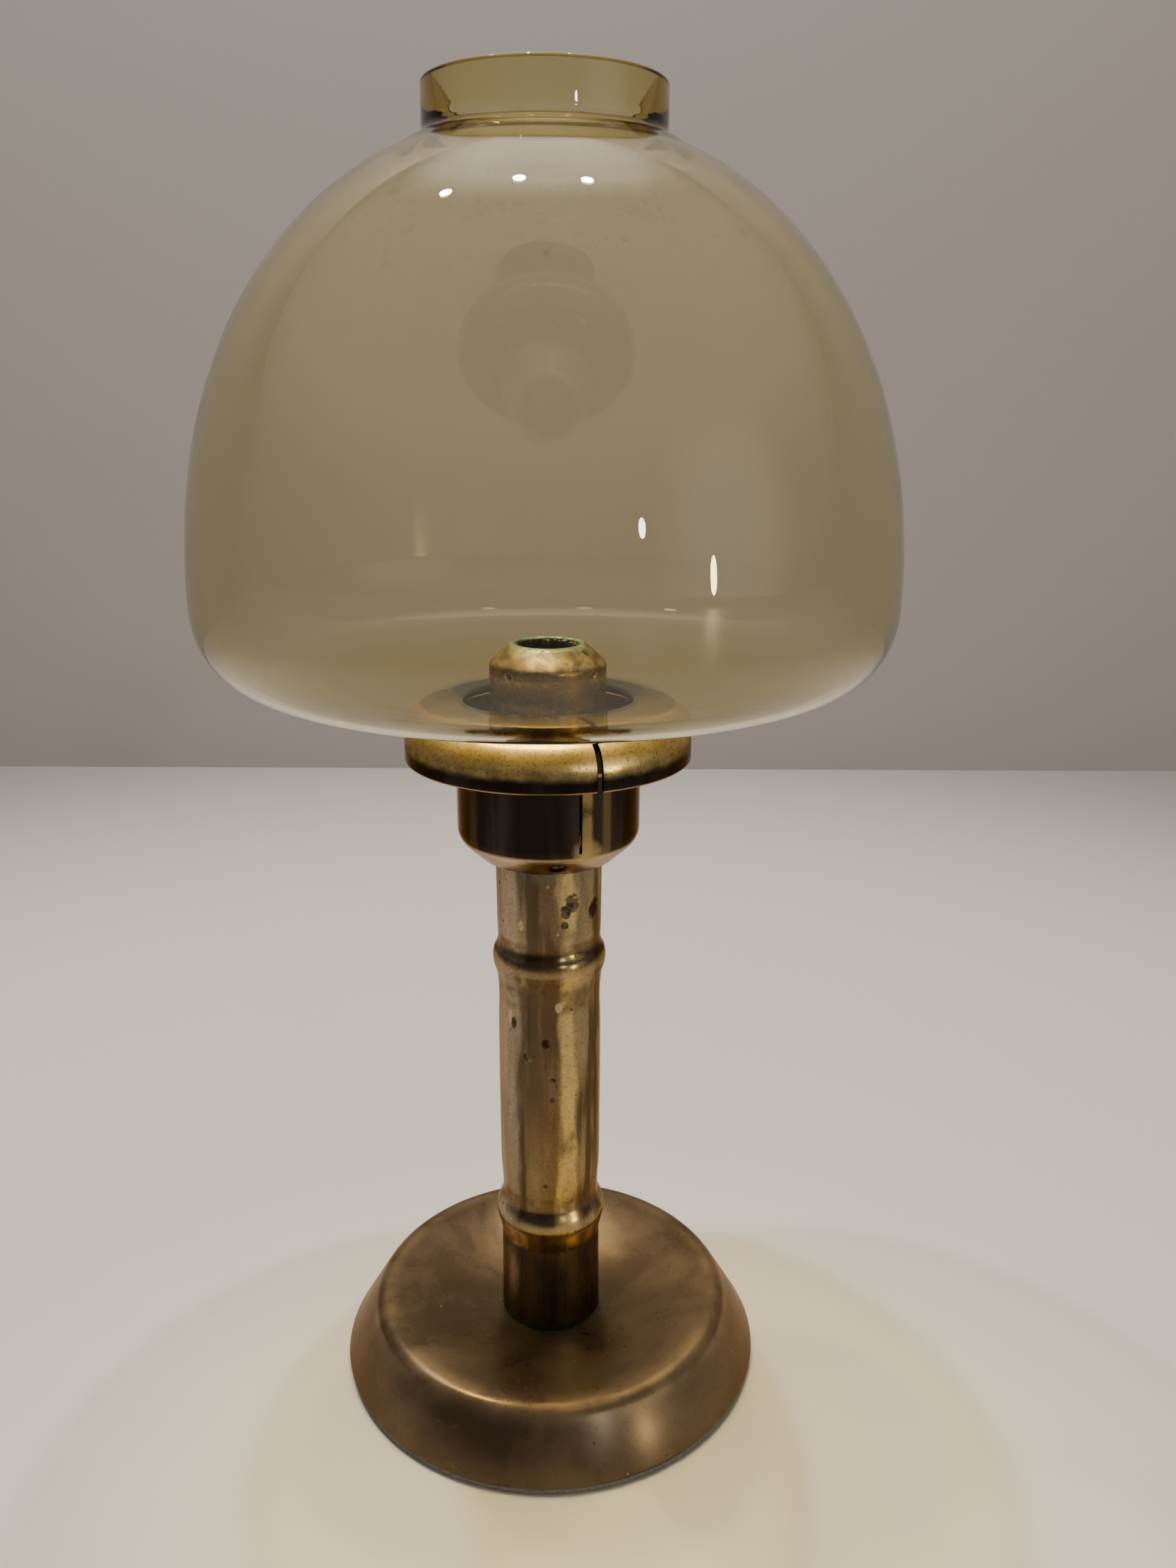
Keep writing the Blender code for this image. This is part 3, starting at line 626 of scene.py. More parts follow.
def holder_metal():
    """Gold satin on the flange's top, polished brown on the lip and the cup, paler on the taper, with gold
    bands of painted reflection down the cup and painted shade in the slit and round the vents.
    """
    material, tree, shader = new_material("dark_brass")
    level = height(tree)
    streak = noise(tree, 120.0, 4.0, 0.6, (1.0, 1.0, 0.12))
    dark = blend(tree, remap(tree, streak, 0.4, 0.65), (0.017, 0.0135, 0.011), (0.040, 0.031, 0.024))
    gold = blend(tree, remap(tree, noise(tree, 85.0, 5.0, 0.65), 0.35, 0.65), (0.70, 0.505, 0.175),
                 (0.93, 0.705, 0.285))
    speckle = remap(tree, noise(tree, 1300.0, 3.0, 0.75), 0.50, 0.66)
    gold = blend(tree, both(tree, speckle, 0.55), gold, (0.14, 0.080, 0.030))
    fade = both(tree, maths(tree, "SUBTRACT", noise(tree, 240.0, 4.0), 0.5), 1.8)
    on_flange = both(tree, on_outside(tree), remap(tree, maths(tree, "ADD", level, fade), FLANGE_LIP_Z - 1.4,
                                                   FLANGE_LIP_Z + 2.4))
    colour = blend(tree, on_flange, dark, gold)
    flat = both(tree, on_flange, remap(tree, level, FLANGE_TOP - 0.9, FLANGE_TOP - 0.25))
    colour = blend(tree, both(tree, flat, 0.9), colour, (0.135, 0.110, 0.088))
    taper = both(tree, remap(tree, level, 146.9, 145.6), remap(tree, from_axis(tree), 13.2, 14.6))
    colour = blend(tree, both(tree, taper, 0.9), colour, (0.50, 0.415, 0.31))
    around = bearing(tree)
    on_cup = both(tree, remap(tree, level, 165.2, 164.4), remap(tree, level, 145.0, 147.5))
    # Upright gold bands down the cup are painted reflections, the strongest just right of the slit.
    runs = either(
        tree,
        both(tree, band(tree, around, 25.0, 2.2, 2.6), remap(tree, noise(tree, 160.0), 0.30, 0.5)),
        both(tree, band(tree, around, 39.0, 1.5, 3.0), 0.45),
        both(tree, band(tree, around, -51.0, 2.0, 4.0), 0.12),
        both(tree, band(tree, around, 152.0, 4.0, 5.0), 0.4),
    )
    colour = blend(tree, both(tree, runs, on_cup, 0.75), colour, (0.30, 0.215, 0.080))
    # A painted gold highlight on the cup beside the slit.
    painted_slit_highlight = blotch(tree, (9.4, -19.3, 147.6), (3.2, 3.0, 2.8), 0.5, 0.5)
    colour = blend(tree, both(tree, painted_slit_highlight, 0.7), colour, (0.36, 0.27, 0.110))
    lower_edge = band(tree, level, FLANGE_BOTTOM, 0.22, 0.25)
    colour = blend(tree, both(tree, lower_edge, 0.8), colour, (0.50, 0.37, 0.16))
    verdigris = both(tree, remap(tree, level, 141.4, 140.0),
                     remap(tree, noise(tree, 420.0, 4.0), 0.46, 0.62))
    colour = blend(tree, both(tree, verdigris, 0.75), colour, (0.16, 0.235, 0.15))
    marks = specks(tree, 150.0, 0.21, 45.0, 0.44)
    colour = blend(tree, both(tree, marks, on_cup, 0.35), colour, (0.16, 0.125, 0.080))
    for angle in VENT_ANGLES:
        turn = math.radians(angle)
        vent = (VENT_MID[0] * math.cos(turn), VENT_MID[0] * math.sin(turn), VENT_MID[1])
        green = both(tree, blotch(tree, vent, (2.7, 2.7, 2.7), 0.35), 0.7)
        colour = blend(tree, green, colour, (0.12, 0.20, 0.14))
        # A near-black spot round each vent hole is painted shade of the hole's inside.
        colour = blend(tree, blotch(tree, vent, (2.0, 2.0, 2.0), 0.06, 0.05), colour, (0.012, 0.012, 0.010))
    # The slit's walls are painted near black as painted shade.
    colour = blend(tree, in_slit(tree), colour, (0.006, 0.005, 0.004))
    satin = remap(tree, noise(tree, 160.0, 4.0), 0.3, 0.7, 0.13, 0.19)
    satin = maths(tree, "ADD", satin, both(tree, on_flange, 0.15))
    satin = maths(tree, "ADD", satin, both(tree, taper, 0.08))
    metal(tree, shader, colour, maths(tree, "ADD", satin, both(tree, verdigris, 0.3)))
    grit = both(tree, speckle, maths(tree, "ADD", both(tree, on_flange, 0.8), 0.12))
    bump(tree, shader, grit, 0.012)
    return material


def cap_metal():
    """Mottled gold on the cone, a band of painted shade under its edge, painted highlights and shade at the
    dimples, green round the hole and sooty inside.
    """
    material, tree, shader = new_material("aged_brass_cap")
    level = height(tree)
    far = from_axis(tree)
    cloud = noise(tree, 210.0, 5.0, 0.65, distortion=0.6)
    colour = blend(tree, remap(tree, cloud, 0.34, 0.66), (0.27, 0.198, 0.085), (0.60, 0.460, 0.195))
    fine = remap(tree, noise(tree, 1300.0, 4.0, 0.75), 0.48, 0.66)
    colour = blend(tree, both(tree, fine, 0.5), colour, (0.15, 0.095, 0.045))
    uneven = both(tree, maths(tree, "SUBTRACT", cloud, 0.5), 2.0)
    # A dark band of painted shade round the cap under the cone's edge.
    shoulder = band(tree, maths(tree, "ADD", level, uneven), 186.5, 0.6, 1.0)
    colour = blend(tree, both(tree, shoulder, 0.7), colour, (0.13, 0.085, 0.045))
    russet = both(tree, remap(tree, noise(tree, 330.0, 4.0, 0.7), 0.58, 0.68),
                  remap(tree, level, 187.4, 188.4), 0.5)
    colour = blend(tree, russet, colour, (0.26, 0.105, 0.050))
    for angle in DIMPLE_ANGLES:
        turn = math.radians(angle)
        dimple = (CAP_R * math.cos(turn), CAP_R * math.sin(turn), DIMPLE_Z)
        # Round each dimple a gold ring, partly rubbing and partly painted highlight, and a dark middle of
        # painted shade.
        rubbed_and_glint = both(tree, blotch(tree, dimple, (1.25, 1.25, 1.25), 0.2), 0.7)
        colour = blend(tree, rubbed_and_glint, colour, (0.62, 0.46, 0.22))
        colour = blend(tree, blotch(tree, dimple, (0.72, 0.72, 0.72), 0.15), colour, (0.05, 0.036, 0.024))
    scratch = blotch(tree, (8.6, -5.6, 190.9), (1.5, 0.55, 0.8), 0.35, 0.1)
    scratch = both(tree, scratch, remap(tree, level, 190.0, 190.4), 0.8)
    colour = blend(tree, scratch, colour, (0.06, 0.045, 0.03))
    skirt = remap(tree, level, 185.5, 183.5)
    colour = blend(tree, both(tree, skirt, 0.85), colour, (0.22, 0.160, 0.085))
    rim = remap(tree, far, 9.6, 7.6)
    green = both(tree, remap(tree, far, 12.4, 8.2), remap(tree, level, 189.4, 191.2),
                 remap(tree, noise(tree, 520.0, 4.0, 0.6), 0.43, 0.57))
    colour = blend(tree, both(tree, green, 0.8), colour, (0.155, 0.26, 0.17))
    edge = both(tree, rim, remap(tree, level, 191.2, 191.9), remap(tree, noise(tree, 700.0, 3.0), 0.36, 0.52))
    colour = blend(tree, both(tree, edge, 0.75), colour, (0.10, 0.20, 0.15))
    soot = both(tree, remap(tree, far, 7.7, 7.35), remap(tree, level, 192.3, 191.7))
    drop = maths(tree, "MULTIPLY", maths(tree, "MAXIMUM", maths(tree, "SUBTRACT", far, 9.05), 0.0), 0.93)
    under = maths(tree, "LESS_THAN", maths(tree, "ADD", level, drop), 191.65)
    inside = either(tree, soot, both(tree, under, maths(tree, "LESS_THAN", far, 13.2)))
    ash = remap(tree, noise(tree, 900.0, 3.0), 0.42, 0.62)
    colour = blend(tree, inside, colour, blend(tree, ash, (0.014, 0.013, 0.011), (0.105, 0.10, 0.09)))
    pits = specks(tree, 420.0, 0.12, 90.0, 0.44)
    colour = blend(tree, both(tree, pits, 0.6), colour, (0.10, 0.062, 0.035))
    satin = both(tree, remap(tree, level, 187.0, 188.5), 0.14)
    crusted = both(tree, either(tree, green, inside), 0.35)
    rough = remap(tree, cloud, 0.3, 0.7, 0.22, 0.32)
    rough = maths(tree, "ADD", rough, maths(tree, "ADD", satin, crusted))
    metal(tree, shader, colour, rough)
    grain = both(tree, noise(tree, 1400.0, 3.0, 0.7), 0.5)
    bump(tree, shader, maths(tree, "SUBTRACT", grain, both(tree, pits, 0.8)), 0.018)
    return material


def plain_metal(name, colour, roughness, scale, stretch=(1.0, 1.0, 1.0), spread=0.25):
    """Metal whose colour and roughness drift a little, for the pieces that seldom show."""
    material, tree, shader = new_material(name)
    grain = noise(tree, scale, 5.0, 0.6, stretch)
    darker = tuple(part * (1.0 - spread) for part in colour)
    plug(tree, shader.inputs["Base Color"], blend(tree, remap(tree, grain, 0.3, 0.7), darker, colour))
    shader.inputs["Metallic"].default_value = 1.0
    plug(tree, shader.inputs["Roughness"], remap(tree, grain, 0.3, 0.7, roughness - 0.07, roughness + 0.08))
    bump(tree, shader, grain, 0.01)
    return material


def cast_iron():
    material, tree, shader = new_material("cast_iron")
    skin = noise(tree, 700.0, 6.0, 0.7)
    rust = remap(tree, noise(tree, 90.0, 5.0), 0.55, 0.72)
    plug(tree, shader.inputs["Base Color"], blend(tree, both(tree, rust, 0.6), (0.045, 0.045, 0.047),
                                                  (0.10, 0.045, 0.02)))
    shader.inputs["Metallic"].default_value = 0.7
    plug(tree, shader.inputs["Roughness"], remap(tree, skin, 0.3, 0.7, 0.6, 0.85))
    bump(tree, shader, skin, 0.12)
    return material


def soft_material(name, first, second, scale, depth):
    """Felt, cotton or rubber: no shine, with a fine irregular surface."""
    material, tree, shader = new_material(name)
    fibres = noise(tree, scale, 6.0, 0.75)
    plug(tree, shader.inputs["Base Color"], blend(tree, remap(tree, fibres, 0.3, 0.7), first, second))
    shader.inputs["Roughness"].default_value = 0.95
    shader.inputs["Specular IOR Level"].default_value = 0.2
    bump(tree, shader, fibres, depth)
    return material


def wick_cotton():
    """Braided cotton, charred black at the top."""
    material, tree, shader = new_material("wick_cotton")
    level = height(tree)
    braid = noise(tree, 900.0, 4.0, 0.6, (1.0, 1.0, 0.5))
    cotton = blend(tree, remap(tree, braid, 0.3, 0.7), (0.42, 0.36, 0.26), (0.62, 0.56, 0.44))
    char = blend(tree, remap(tree, noise(tree, 700.0, 4.0), 0.45, 0.7), (0.012, 0.011, 0.010),
                 (0.10, 0.095, 0.085))
    burnt = remap(tree, maths(tree, "ADD", level, both(tree, noise(tree, 500.0), 6.0)), 184.0, 189.0)
    plug(tree, shader.inputs["Base Color"], blend(tree, burnt, cotton, char))
    shader.inputs["Roughness"].default_value = 0.95
    bump(tree, shader, braid, 0.25)
    return material


def smoky_glass():
    """Amber-grey blown glass, tinted through its depth, dusty round the collar, which lets lamps through."""
    material, tree, shader = new_material("smoky_glass")
    level = height(tree)
    shoulder = both(tree, remap(tree, level, 262.0, 296.0), remap(tree, level, 300.5, 298.0))
    flecks = both(tree, remap(tree, cells(tree, 520.0), 0.05, 0.09, 1.0, 0.0), shoulder,
                  remap(tree, noise(tree, 60.0, 4.0), 0.52, 0.62))
    film = both(tree, shoulder, remap(tree, noise(tree, 140.0, 5.0, 0.7), 0.5, 0.8), 0.10)
    dust = either(tree, both(tree, flecks, 0.55), film)
    colour = blend(tree, remap(tree, dust, 0.0, 0.1), (1.0, 1.0, 1.0), (0.62, 0.59, 0.53))
    plug(tree, shader.inputs["Base Color"], colour)
    plug(tree, shader.inputs["Transmission Weight"], maths(tree, "SUBTRACT", 1.0, dust))
    shader.inputs["Roughness"].default_value = 0.0
    shader.inputs["IOR"].default_value = 1.5
    bump(tree, shader, noise(tree, 30.0, 2.0), 0.06)
    depth = tree.nodes.new("ShaderNodeVolumeAbsorption")
    depth.inputs["Color"].default_value = (0.76, 0.66, 0.14, 1.0)
    depth.inputs["Density"].default_value = 410.0
    clear = tree.nodes.new("ShaderNodeBsdfTransparent")
    clear.inputs["Color"].default_value = (0.95, 0.94, 0.92, 1.0)
    light_path = tree.nodes.new("ShaderNodeLightPath")
    mixer = tree.nodes.new("ShaderNodeMixShader")
    output = tree.nodes["Material Output"]
    tree.links.new(light_path.outputs["Is Shadow Ray"], mixer.inputs[0])
    tree.links.new(shader.outputs[0], mixer.inputs[1])
    tree.links.new(clear.outputs[0], mixer.inputs[2])
    tree.links.new(mixer.outputs[0], output.inputs["Surface"])
    tree.links.new(depth.outputs[0], output.inputs["Volume"])
    return material


def stage_material(name, colour, roughness):
    material, tree, shader = new_material(name)
    plug(tree, shader.inputs["Base Color"], colour)
    shader.inputs["Roughness"].default_value = roughness
    return material


def pale_floor():
    """A pale table top with a painted pool of light: it darkens to the backdrop's grey away from the lamp."""
    material, tree, shader = new_material("stage_floor")
    away = tree.nodes.new("ShaderNodeVectorMath")
    away.operation = "LENGTH"
    tree.links.new(tree.nodes.new("ShaderNodeNewGeometry").outputs["Position"], away.inputs[0])
    # Painted pool of light: the floor's colour darkens with distance from the lamp.
    far = remap(tree, away.outputs["Value"], 0.30, 0.75)
    colour = blend(tree, far, (0.66, 0.63, 0.60), (0.28, 0.26, 0.255))
    plug(tree, shader.inputs["Base Color"], colour)
    shader.inputs["Roughness"].default_value = 0.5
    return material


# ---------------------------------------------------------------- pieces

def dish_height(radius):
    """Height of the base's top plate, which dips smoothly from the shoulder to the stem."""
    crest_r = SHOULDER_MID[0]
    crest_z = SHOULDER_MID[1] + SHOULDER_R
    share = max(0.0, (radius - DISH_DIP_R) / (crest_r - DISH_DIP_R))
    return DISH_CENTRE_Z + (crest_z - DISH_CENTRE_Z) * (1.0 - math.cos(math.pi * share)) / 2.0


def base_dish(metal):
    steps = 30
    reach_r = SHOULDER_MID[0] - 0.5
    radii = [DISH_HOLE_R + (reach_r - DISH_HOLE_R) * step / steps for step in range(steps + 1)]
    plate = [(radius, dish_height(radius)) for radius in radii]
    shoulder = arc(SHOULDER_MID, SHOULDER_R, 88.0, FLANK_ANGLE, 12)
    rim_z = RIM_LOW - DATUM + EDGE_R
    rim = arc((RIM_R - EDGE_R, rim_z), EDGE_R, 20.0, -90.0, 6)
    under_shoulder = arc(SHOULDER_MID, SHOULDER_R - SHEET, FLANK_ANGLE, 88.0, 8)
    under_plate = [(radius, dish_height(radius) - SHEET) for radius in reversed(radii)]
    outline = plate + shoulder + rim + [(RIM_R - SHEET, rim_z - EDGE_R)] + under_shoulder + under_plate
    return turned("base_dish_turned", outline, metal)


def base_felt(felt):
    soft = 0.3
    low, high = FELT_LOW - DATUM, FELT_HIGH - DATUM
    outline = [(0.0, high)] + arc((FELT_R - soft, high - soft), soft, 90.0, 0.0, 4)
    outline += arc((FELT_R - soft, low + soft), soft, 0.0, -90.0, 4) + [(0.0, low)]
    return turned("base_felt_pad", outline, felt)


def stem(metal):
    outside = smooth_line(list(reversed(STEM_OUTLINE)), 5)
    soft = 0.3
    top = [(BORE_R, STEM_TOP), (NECK_R - soft, STEM_TOP), (NECK_R, STEM_TOP - soft),
           (NECK_R, STEM_OUTLINE[-1][1])]
    tube = turned("stem_turned", top + outside + [(BORE_R, STEM_OUTLINE[0][1])], metal, MEDIUM)
    holes = [drill(PIN_R + PIN_CLEARANCE, 4.0, radial_place(angle, (BORE_R + NECK_R) / 2.0, PIN_Z), metal)
             for angle in PIN_ANGLES]
    return carve(tube, holes)


def holder(metal):
    """The cup's taper and wall, then the flange's flat top, round edge and lip, slit on one side."""
    inner_r = CUP_R - CUP_WALL
    drop = FLANGE_TOP - FLANGE_LIP_Z
    run = FLANGE_R - FLANGE_FLAT_R
    elbow = (CUP_R - ELBOW_R, ELBOW_Z)
    outline = [CUP_FOOT, (CUP_TAPER_LOW[0] - 0.8, CUP_TAPER_LOW[1] - 0.25),
               (CUP_TAPER_LOW[0] + 0.3, CUP_TAPER_LOW[1] + 0.3)]
    outline += arc(elbow, ELBOW_R, TAPER_ANGLE, 0.0, 14)
    outline += arc((CUP_R + MOUTH_ROUND, FLANGE_TOP - CUP_WALL - MOUTH_ROUND), MOUTH_ROUND, 180.0, 90.0, 5)
    outline += arc((FLANGE_FLAT_R, FLANGE_LIP_Z), (run - CUP_WALL, drop - CUP_WALL), 90.0, 0.0, 18)
    lip = 0.2
    outline += [(FLANGE_R - CUP_WALL, FLANGE_BOTTOM + lip), (FLANGE_R - CUP_WALL + lip, FLANGE_BOTTOM),
                (FLANGE_R - lip, FLANGE_BOTTOM), (FLANGE_R, FLANGE_BOTTOM + lip)]
    outline += arc((FLANGE_FLAT_R, FLANGE_LIP_Z), (run, drop), 0.0, 90.0, 22)
    outline += arc((inner_r + MOUTH_ROUND, FLANGE_TOP - MOUTH_ROUND), MOUTH_ROUND, 90.0, 180.0, 6)
    outline += arc(elbow, ELBOW_R - CUP_WALL, 0.0, TAPER_ANGLE, 8)
    outline += [(CUP_TAPER_LOW[0] - 0.3, CUP_TAPER_LOW[1] + CUP_WALL), (CUP_BORE_R, CUP_FOOT[1] + CUP_WALL)]
    cup = turned("holder_spun", outline, metal)
    cutters = [drill(VENT_R, 8.0, radial_place(angle, VENT_MID[0], VENT_MID[1], 135.0), metal)
               for angle in VENT_ANGLES]
    flange_height = 2.0 * (FLANGE_TOP - FLANGE_BOTTOM)
    flange_middle = FLANGE_BOTTOM - 1.0 + flange_height / 2.0
    cutters.append(blade((14.0, SLIT_FLANGE, flange_height), (CUP_R + 7.0, 0.0, flange_middle), SLIT_ANGLE,
                         metal))
    wall_height = FLANGE_TOP + 5.0 - SLIT_BOTTOM
    cutters.append(blade((10.0, SLIT_WALL, wall_height), (CUP_R - 2.0, 0.0, SLIT_BOTTOM + wall_height / 2.0),
                         SLIT_ANGLE, metal))
    return carve(cup, cutters)


def shade(glass):
    """Collar, dome, round corner and floor of the blown shade, with its wall's true thickness."""
    dome = superellipse(0.0, SHADE_R, DOME_HEIGHT, DOME_POWER, 68.5, 0.0, 60)
    corner = superellipse(CORNER_MID_R, SHADE_R - CORNER_MID_R, CORNER_HEIGHT, CORNER_POWER, -3.0, -71.0, 30)
    outside = dome + corner
    outside_foot = [(COLLAR_R, COLLAR_FOOT_Z + 2.2), (COLLAR_R, COLLAR_FOOT_Z + 1.0),
                    (COLLAR_R + 0.7, COLLAR_FOOT_Z - 0.1), (COLLAR_R + 2.4, COLLAR_FOOT_Z - 0.9), dome[0]]
    fillet = smooth_line(outside_foot, 4)[:-1]
    rim_z = SHADE_TOP - RIM_ROUND
    inner_r = COLLAR_R - COLLAR_WALL
    rim = arc((inner_r + RIM_ROUND, rim_z), RIM_ROUND, 180.0, 90.0, 6)
    rim += arc((COLLAR_R - RIM_ROUND, rim_z), RIM_ROUND, 90.0, 0.0, 6)
    edge = arc((SHADE_HOLE_R + SHADE_FLOOR / 2.0, SHADE_BOTTOM + SHADE_FLOOR / 2.0), SHADE_FLOOR / 2.0,
               -90.0, -270.0, 12)
    wall = list(reversed(inset(outside, -DOME_WALL)))
    outline = rim + fillet + outside + [(FOOT_R, SHADE_BOTTOM)] + edge
    outline += [(FOOT_R - 1.0, SHADE_BOTTOM + SHADE_FLOOR)] + wall[:-1]
    inside_foot = [wall[-1], (27.4, COLLAR_FOOT_Z - 2.4), (24.9, COLLAR_FOOT_Z - 1.1),
                   (23.3, COLLAR_FOOT_Z + 0.9), (inner_r, COLLAR_FOOT_Z + 3.4)]
    outline += smooth_line(inside_foot, 5)
    return turned("glass_shade_blown", outline, glass)


def dimpled(point):
    """Press the cap's small round dimples into its skirt, just under the cone."""
    depth = 0.0
    for angle in DIMPLE_ANGLES:
        turn = math.radians(angle)
        middle = Vector((CAP_R * math.cos(turn), CAP_R * math.sin(turn), DIMPLE_Z + DATUM))
        off = (point - middle).length
        if off < DIMPLE_R:
            depth = DIMPLE_DEPTH * min(1.0, 1.5 * (1.0 - off / DIMPLE_R))
    size = math.hypot(point.x, point.y)
    shrink = 1.0 - depth / max(size, 1.0)
    return Vector((point.x * shrink, point.y * shrink, point.z))


def crumb(middle, size, material):
    """A lump of char with an uneven surface."""
    shape = bmesh.new()
    bmesh.ops.create_icosphere(shape, subdivisions=3, radius=size * MM)
    centre = Vector((middle[0] * MM, middle[1] * MM, (middle[2] + DATUM) * MM))
    for vertex in shape.verts:
        swell = mathutils.noise.noise((vertex.co + centre) * 900.0)
        vertex.co = vertex.co * (1.0 + 0.45 * swell) + centre
    return as_object(shape, "crumb", material)


def cap(metal):
    """The burner cap, with an L-shaped bayonet slot for each pin in its skirt."""
    skirt_steps = 18
    fine_low = DIMPLE_Z - DIMPLE_R - 0.2
    skirt = [(CAP_R, CAP_BOTTOM), (CAP_R, CAP_BOTTOM + 8.0), (CAP_R, fine_low)]
    skirt += [(CAP_R, fine_low + (187.0 - fine_low) * step / skirt_steps) for step in range(1, skirt_steps)]
    cone = smooth_line(list(CAP_CONE), 5)
    outline = skirt + cone + list(CAP_INSIDE) + [(CAP_BORE_R, CAP_BOTTOM)]
    made = turned("burner_cap_spun", outline, metal, 320, dimpled)
    cutters = []
    middle = (CAP_BORE_R + CAP_R) / 2.0
    margin = math.degrees(SLOT_HALF / middle)
    for angle in PIN_ANGLES:
        leg = PIN_Z + SLOT_HALF - CAP_BOTTOM + 3.0
        cutters.append(blade((4.0, 2.0 * SLOT_HALF, leg), (middle, 0.0, PIN_Z + SLOT_HALF - leg / 2.0), angle,
                             metal))
        cutters.append(ring_sector(middle - 2.0, middle + 2.0, PIN_Z - SLOT_HALF, PIN_Z + SLOT_HALF,
                                   angle - CAP_TURN - margin, angle, metal))
    carve(made, cutters)
    crumbs = []
    for index in range(CRUMBS):
        turn = math.radians(CRUMB_START + CRUMB_STEP * index)
        out = CRUMB_OUT - 0.25 * (index % 3)
        crumbs.append(crumb((out * math.cos(turn), out * math.sin(turn), CRUMB_Z - 0.2 * (index % 2)),
                            CRUMB_R + 0.13 * ((index * 2) % 3), metal))
    return carve(made, crumbs, "UNION")


def charred(point):
    """Pit and shrink the wick's burnt top."""
    burnt = min(1.0, max(0.0, (point.z - (WICK_HIGH - 2.5)) / 2.5))
    lump = 0.5 + 0.5 * mathutils.noise.noise(point * 0.9)
    fine = 0.5 + 0.5 * mathutils.noise.noise(point * 2.7)
    shrink = 1.0 - burnt * (0.16 * lump + 0.12 * fine)
    return Vector((point.x * shrink, point.y * shrink, point.z - burnt * (1.1 * lump + 0.5 * fine)))


def wick(cotton):
    steps = 14
    low, high = WICK_LOW - DATUM, WICK_HIGH - DATUM
    burnt = high - CHARRED
    side = [(WICK_R, low), (WICK_R, burnt)]
    side += [(WICK_R, burnt + CHARRED * step / steps) for step in range(1, steps)]
    top = [(WICK_R * (1.0 - step / steps), high) for step in range(steps + 1)]
    return turned("wick_braid", [(0.0, low)] + side + top, cotton, SMALL, charred)


# ---------------------------------------------------------------- stage, lights and camera

def panel(name, middle, size, turn, material):
    """A flat rectangle of the stage."""
    shape = bmesh.new()
    bmesh.ops.create_grid(shape, x_segments=1, y_segments=1, size=0.5)
    made = as_object(shape, name, material)
    made.scale = (size[0], size[1], 1.0)
    made.location = middle
    made.rotation_euler = turn
    return made


def lamp(name, location, size, power, colour, through=False):
    """An oval light turned to the shade's middle. through lets rays that cross the glass meet it."""
    data = bpy.data.lights.new(name, "AREA")
    data.shape = "ELLIPSE"
    data.size, data.size_y = size
    data.energy = power
    data.color = colour
    made = bpy.data.objects.new(name, data)
    bpy.context.scene.collection.objects.link(made)
    made.location = location
    made.rotation_euler = (Vector(location) - Vector((0.0, 0.0, 0.2))).to_track_quat("Z", "Y").to_euler()
    made.visible_camera = False
    made.visible_transmission = through
    return made


def glow(tree, where, middle, inner, outer):
    """A soft round patch of the room's light; inner and outer are angles from its middle, in degrees."""
    dot = tree.nodes.new("ShaderNodeVectorMath")
    dot.operation = "DOT_PRODUCT"
    dot.inputs[1].default_value = Vector(middle).normalized()
    tree.links.new(where, dot.inputs[0])
    return remap(tree, dot.outputs["Value"], math.cos(math.radians(outer)), math.cos(math.radians(inner)))


def set_world():
    """A dim room, lighter overhead, with a soft glow from the ceiling and a lit side."""
    world = bpy.data.worlds.new("studio")
    world.use_nodes = True
    tree = world.node_tree
    where = tree.nodes.new("ShaderNodeTexCoord").outputs["Generated"]
    split = tree.nodes.new("ShaderNodeSeparateXYZ")
    tree.links.new(where, split.inputs[0])
    room = remap(tree, split.outputs["Z"], -0.1, 0.9, 0.09, 0.30)
    ceiling = both(tree, glow(tree, where, (-0.03, 0.45, 0.89), 2.0, 24.0), 1.7)
    side = both(tree, glow(tree, where, (0.83, -0.52, 0.12), 4.0, 26.0), 0.5)
    total = maths(tree, "ADD", maths(tree, "ADD", room, ceiling), side)
    background = tree.nodes["Background"]
    background.inputs["Color"].default_value = (1.0, 0.95, 0.89, 1.0)
    tree.links.new(total, background.inputs["Strength"])
    bpy.context.scene.world = world


def set_stage():
    panel("floor", (0.0, 0.0, 0.0), (6.0, 6.0), (0.0, 0.0, 0.0), pale_floor())
    panel("backdrop", (0.0, 0.56, 0.5), (6.0, 1.0), (math.radians(90.0), 0.0, 0.0),
          stage_material("stage_backdrop", (0.41, 0.382, 0.376), 0.8))
    set_world()
    warm = (1.0, 0.93, 0.84)
    for index, middle in enumerate(((-0.45, 0.28, 1.46), (-0.127, 0.273, 1.53), (0.18, 0.29, 1.53))):
        lamp("spot_%d" % index, middle, (0.055, 0.055), 8.5, warm, True)
    lamp("far_white", (1.19, -2.13, 0.66), (0.09, 0.17), 3.0, (1.0, 1.0, 0.98))
    lamp("far_warm", (1.91, -1.56, 0.24), (0.09, 0.30), 6.0, (1.0, 0.86, 0.50))


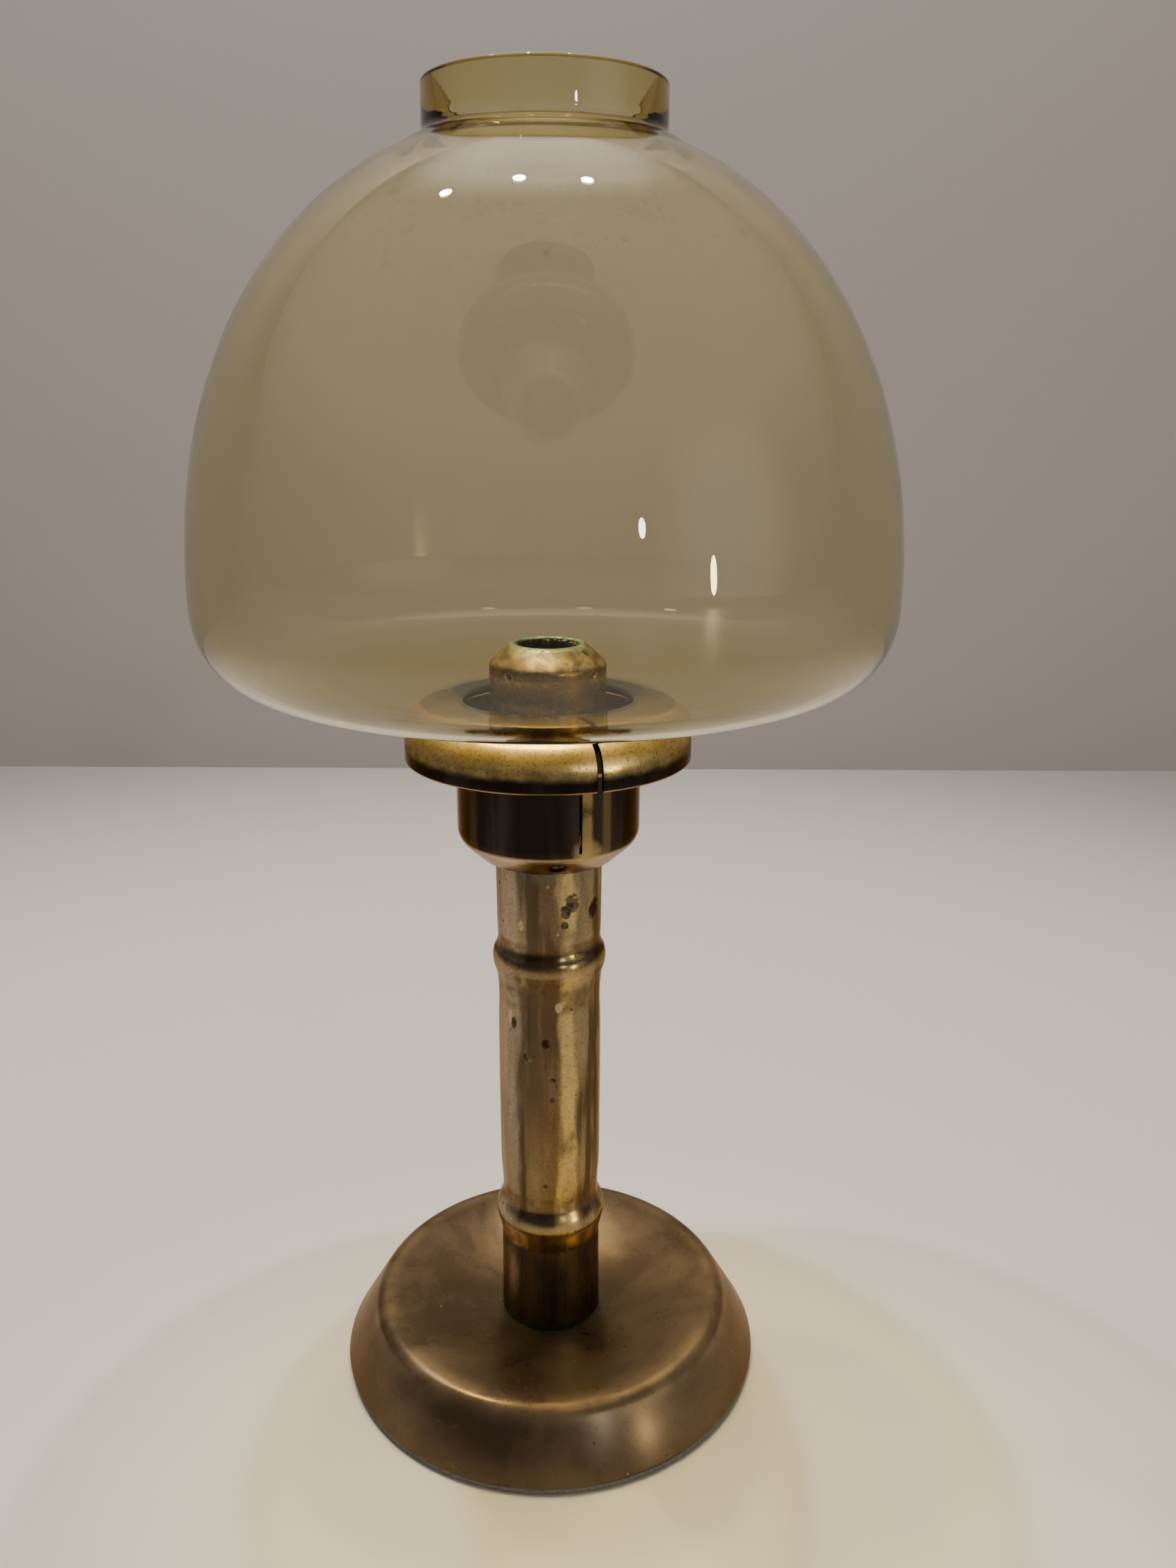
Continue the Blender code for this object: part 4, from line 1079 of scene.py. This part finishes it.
def set_camera():
    """The photograph's viewpoint, from a perspective fit to the lamp's outlines."""
    data = bpy.data.cameras.new("camera")
    data.sensor_width = 36.0
    data.lens = CAMERA_LENS
    made = bpy.data.objects.new("camera", data)
    bpy.context.scene.collection.objects.link(made)
    turn = Matrix.Rotation(math.radians(CAMERA_TURN), 4, "Z")
    pitch = Matrix.Rotation(math.radians(90.0 - CAMERA_DOWN), 4, "X")
    roll = Matrix.Rotation(math.radians(CAMERA_ROLL), 4, "Z")
    made.matrix_world = Matrix.Translation(CAMERA_PLACE) @ turn @ pitch @ roll
    bpy.context.scene.camera = made


# ---------------------------------------------------------------- build

def dress_hidden_nodes():
    """Materials for the CAD nodes that are kept as they are."""
    steel = plain_metal("steel", (0.50, 0.50, 0.51), 0.34, 300.0)
    tin = plain_metal("tinplate", (0.60, 0.60, 0.58), 0.28, 160.0, (1.0, 1.0, 0.1))
    brass = plain_metal("inner_brass", (0.44, 0.30, 0.12), 0.27, 260.0, spread=0.4)
    rubber = soft_material("black_rubber", (0.018, 0.018, 0.018), (0.035, 0.034, 0.033), 800.0, 0.02)
    looks = {
        steel: ("clamp_bolt", "clamp_washer", "stem_plug", "bayonet_pin_back", "bayonet_pin_front", "spring",
                "spring_follower"),
        tin: ("oil_tank",),
        brass: ("holder_lock_ring", "tank_lid", "wick_tube"),
        rubber: ("tank_gasket",),
        cast_iron(): ("base_weight",),
    }
    for material, nodes in looks.items():
        for node in nodes:
            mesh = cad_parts[node].data
            mesh.materials.clear()
            mesh.materials.append(material)


def build():
    felt = soft_material("grey_felt", (0.13, 0.125, 0.12), (0.26, 0.25, 0.24), 1600.0, 0.15)
    pieces = (
        (base_dish(base_metal()), "stand", "base_dish", "patinated_brass"),
        (base_felt(felt), "stand", "base_felt", "grey_felt"),
        (stem(stem_metal()), "stand", "stem_tube", "aged_brass"),
        (holder(holder_metal()), "stand", "shade_holder", "dark_brass"),
        (shade(smoky_glass()), "shade", "glass_shade", "smoky_glass"),
        (cap(cap_metal()), "cap", "burner_cap", "aged_brass"),
        (wick(wick_cotton()), "wick", "wick", "wick_cotton"),
    )
    for piece, body, node, slot in pieces:
        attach(piece, body)
        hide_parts(node)
    dress_hidden_nodes()


build()
set_stage()
set_camera()
